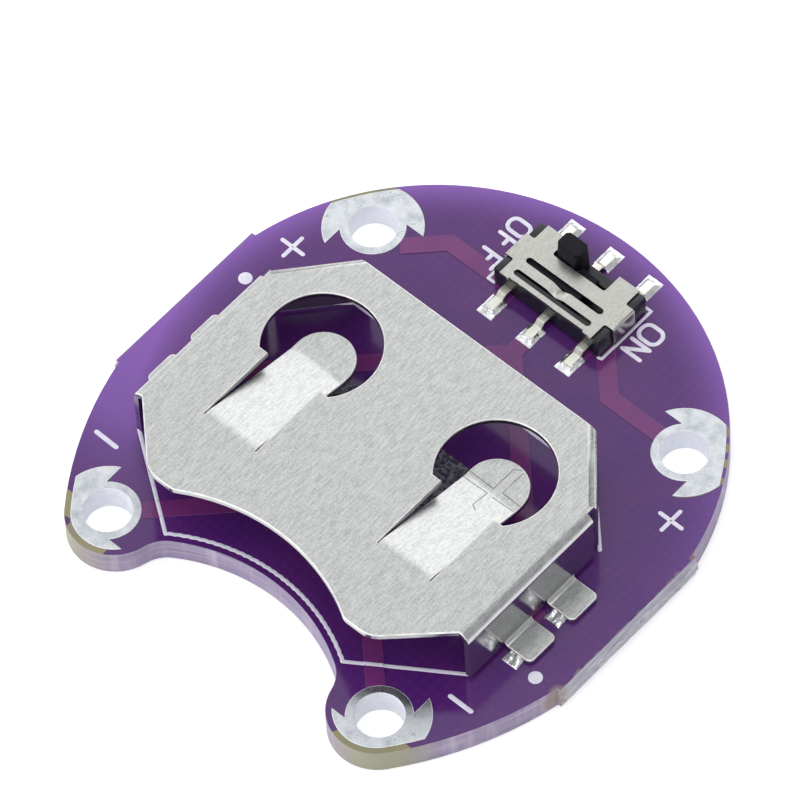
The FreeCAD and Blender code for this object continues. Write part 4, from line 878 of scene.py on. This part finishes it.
def solder_skin(name, node, height, seed):
    """A closed mound over the node's pad. height(x, y) is in millimetres above the board."""
    low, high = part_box(node)
    columns, rows = 30, 36
    mesh = bmesh.new()
    grid = []
    for row in range(rows + 1):
        for column in range(columns + 1):
            x = (low[0] + (high[0] - low[0]) * column / columns) / MM
            y = (low[1] + (high[1] - low[1]) * row / rows) / MM
            edge = column in (0, columns) or row in (0, rows)
            dimple = (noise.noise(Vector((x * 4.0, y * 4.0, seed)))
                      + 0.4 * noise.noise(Vector((x * 9.0, y * 9.0, seed))))
            if edge:
                z = PAD_EDGE
            else:
                z = max(LEAST_SOLDER, height(x, y) * (1.0 + 0.28 * dimple) + 0.006 * dimple)
            grid.append(mesh.verts.new((x * MM, y * MM, BOARD_TOP + z * MM)))
    wide = columns + 1
    for row in range(rows):
        for column in range(columns):
            corner = row * wide + column
            mesh.faces.new((grid[corner], grid[corner + 1], grid[corner + wide + 1],
                            grid[corner + wide]))
    rim = [grid[c] for c in range(columns)]
    rim += [grid[r * wide + columns] for r in range(rows)]
    rim += [grid[rows * wide + c] for c in range(columns, 0, -1)]
    rim += [grid[r * wide] for r in range(rows, 0, -1)]
    base = [mesh.verts.new((v.co.x, v.co.y, BOARD_TOP)) for v in rim]
    for number in range(len(rim)):
        following = (number + 1) % len(rim)
        mesh.faces.new((rim[following], rim[number], base[number], base[following]))
    mesh.faces.new(base[::-1])
    return finish_piece(name, mesh, [SOLDER], "board", node, 60.0)


PIN_FOOT_HALF = 0.25
PIN_SKIN, PIN_CLIMB, PIN_HOLLOW = 0.025, 0.13, 1.8
for number in range(1, 7):
    outward = 1.0 if number > 3 else -1.0
    low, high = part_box(f"switch_terminal_{number}")
    middle_x = (low[0] + high[0]) / 2 / MM
    toe = (high[1] if outward > 0 else low[1]) / MM
    pad_low, pad_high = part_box(f"switch_joint_{number}")
    pad_half = (pad_high[0] - pad_low[0]) / 2 / MM
    toe_room = abs((pad_high[1] if outward > 0 else pad_low[1]) / MM - toe)

    def climb(x, y):
        """A hollow slope, highest against the foot's sides and toe, down to the pad's corners."""
        across = max(abs(x - middle_x) - PIN_FOOT_HALF, 0.0) / (pad_half - PIN_FOOT_HALF)
        along = max((y - toe) * outward, 0.0) / toe_room
        away = min(math.hypot(across, along), 1.0)
        return PIN_SKIN + PIN_CLIMB * (1.0 - away) ** PIN_HOLLOW
    solder_skin(f"switch_solder_{number}", f"switch_joint_{number}", climb, number * 7.3)

CLIP_FOOT_GAP = 0.58
CLIP_UNDER_FOOT, CLIP_SKIN, CLIP_LUMP = 0.045, 0.03, 0.27
SIDE_ROLL = 0.2
for row in ("back", "front"):
    for side in ("left", "right"):
        node = f"clip_joint_{row}_{side}"
        low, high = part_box(node)
        low_x, high_x, front_y = low[0] / MM, high[0] / MM, low[1] / MM
        foot_edge = front_y + CLIP_FOOT_GAP

        def bank(x, y):
            """A lump against the foot's front edge, that sinks toward the pad's front."""
            if y > foot_edge:
                return CLIP_UNDER_FOOT
            away = (foot_edge - y) / CLIP_FOOT_GAP
            side_fall = min(min(x - low_x, high_x - x) / SIDE_ROLL, 1.0)
            return CLIP_SKIN + CLIP_LUMP * (1.0 - away) ** 0.9 * side_fall ** 0.6
        solder_skin(f"clip_solder_{row}_{side}", node, bank, low_x + front_y)


# Switch: its pins, tray, cover, knob and wipers

for number in range(1, 7):
    dressed(f"switch_terminal_{number}", f"switch_pin_{number}", PIN, "board", 0.03, 3)
dressed("switch_housing", "switch_body_moulding", NYLON, "board", 0.06, 3)
dressed("switch_cover", "switch_cover_sheet", COVER, "board", 0.025, 2)
dressed("switch_slider", "switch_knob_moulding", ACETAL, "slider", 0.06, 3)
for place in ("front", "back"):
    dressed("switch_wiper_" + place, f"switch_wiper_{place}_strip", BRONZE, "slider",
            0.01, 1)


# Floor, lamps and camera

def paper_floor():
    """Plain white paper. Camera and mirror rays see it a little brighter, to keep it white."""
    material, tree, _ = new_material("white_paper")
    path = add(tree, "ShaderNodeLightPath").outputs
    mirrored = add(tree, MATH, {0: path["Is Glossy Ray"], 1: path["Is Transmission Ray"]},
                   operation="MAXIMUM")
    seen = add(tree, MATH, {0: path["Is Camera Ray"], 1: mirrored}, operation="MAXIMUM")
    strength = add(tree, MATH, {0: seen, 1: 0.4}, operation="MULTIPLY")
    return close_material(material, tree, {"Base Color": "f4f4f4", "Roughness": 0.9,
                                           "Emission Color": "ffffff",
                                           "Emission Strength": strength})


FLOOR_REACH = 0.6
FLOOR_LEVEL = -0.00002
floor_data = bpy.data.meshes.new("paper_floor")
floor_ways = ((-1, -1), (1, -1), (1, 1), (-1, 1))
floor_corners = [(x * FLOOR_REACH, y * FLOOR_REACH, FLOOR_LEVEL) for x, y in floor_ways]
floor_data.from_pydata(floor_corners, [], [(0, 1, 2, 3)])
floor_data.materials.append(paper_floor())
floor = bpy.data.objects.new("paper_floor", floor_data)
bpy.context.collection.objects.link(floor)

LAMP_DISTANCE = 0.6


def soft_lamp(name, way, size, radiance):
    """A square soft box that faces the board. At a radiance of 1 it looks white in a mirror."""
    data = bpy.data.lights.new(name, "AREA")
    data.shape = "SQUARE"
    data.size = size
    data.energy = radiance * math.pi * size ** 2
    lamp = bpy.data.objects.new(name, data)
    lamp.location = Vector(way).normalized() * LAMP_DISTANCE
    lamp.rotation_euler = (-lamp.location).to_track_quat("-Z", "Y").to_euler()
    bpy.context.collection.objects.link(lamp)


soft_lamp("left_rear_softbox", (-0.45, 0.38, 0.82), 0.64, 0.45)
soft_lamp("rear_softbox", (-0.38, 0.74, 0.55), 0.4, 0.97)
soft_lamp("overhead_softbox", (0.12, -0.12, 1.0), 0.34, 1.6)
soft_lamp("left_softbox", (-0.93, 0.2, 0.3), 0.6, 0.5)
soft_lamp("front_softbox", (-0.3, -0.85, 0.42), 0.8, 1.1)

world = bpy.data.worlds.new("pale_room")
world.use_nodes = True
background = world.node_tree.nodes["Background"]
background.inputs["Color"].default_value = linear("f6f7fa")
background.inputs["Strength"].default_value = 0.6
bpy.context.scene.world = world

# The camera stands where the photograph was taken from, worked out from the board's outline
CAMERA_PLACE = (0.16258946, -0.16276968, 0.35930253)
CAMERA_RIGHT = (0.74342346, 0.66773606, -0.0380804)
CAMERA_UP = (-0.54564408, 0.63844908, 0.54282162)
CAMERA_BACK = (0.38677396, -0.38276798, 0.83898425)
camera_data = bpy.data.cameras.new("photo_camera")
camera_data.sensor_width = 36.0
camera_data.lens = 393.3629
camera_data.clip_end = 10.0
camera = bpy.data.objects.new("photo_camera", camera_data)
axes = Matrix((CAMERA_RIGHT, CAMERA_UP, CAMERA_BACK)).transposed().to_4x4()
camera.matrix_world = Matrix.Translation(CAMERA_PLACE) @ axes
bpy.context.collection.objects.link(camera)
bpy.context.scene.camera = camera
bpy.context.scene.view_settings.view_transform = "Standard"
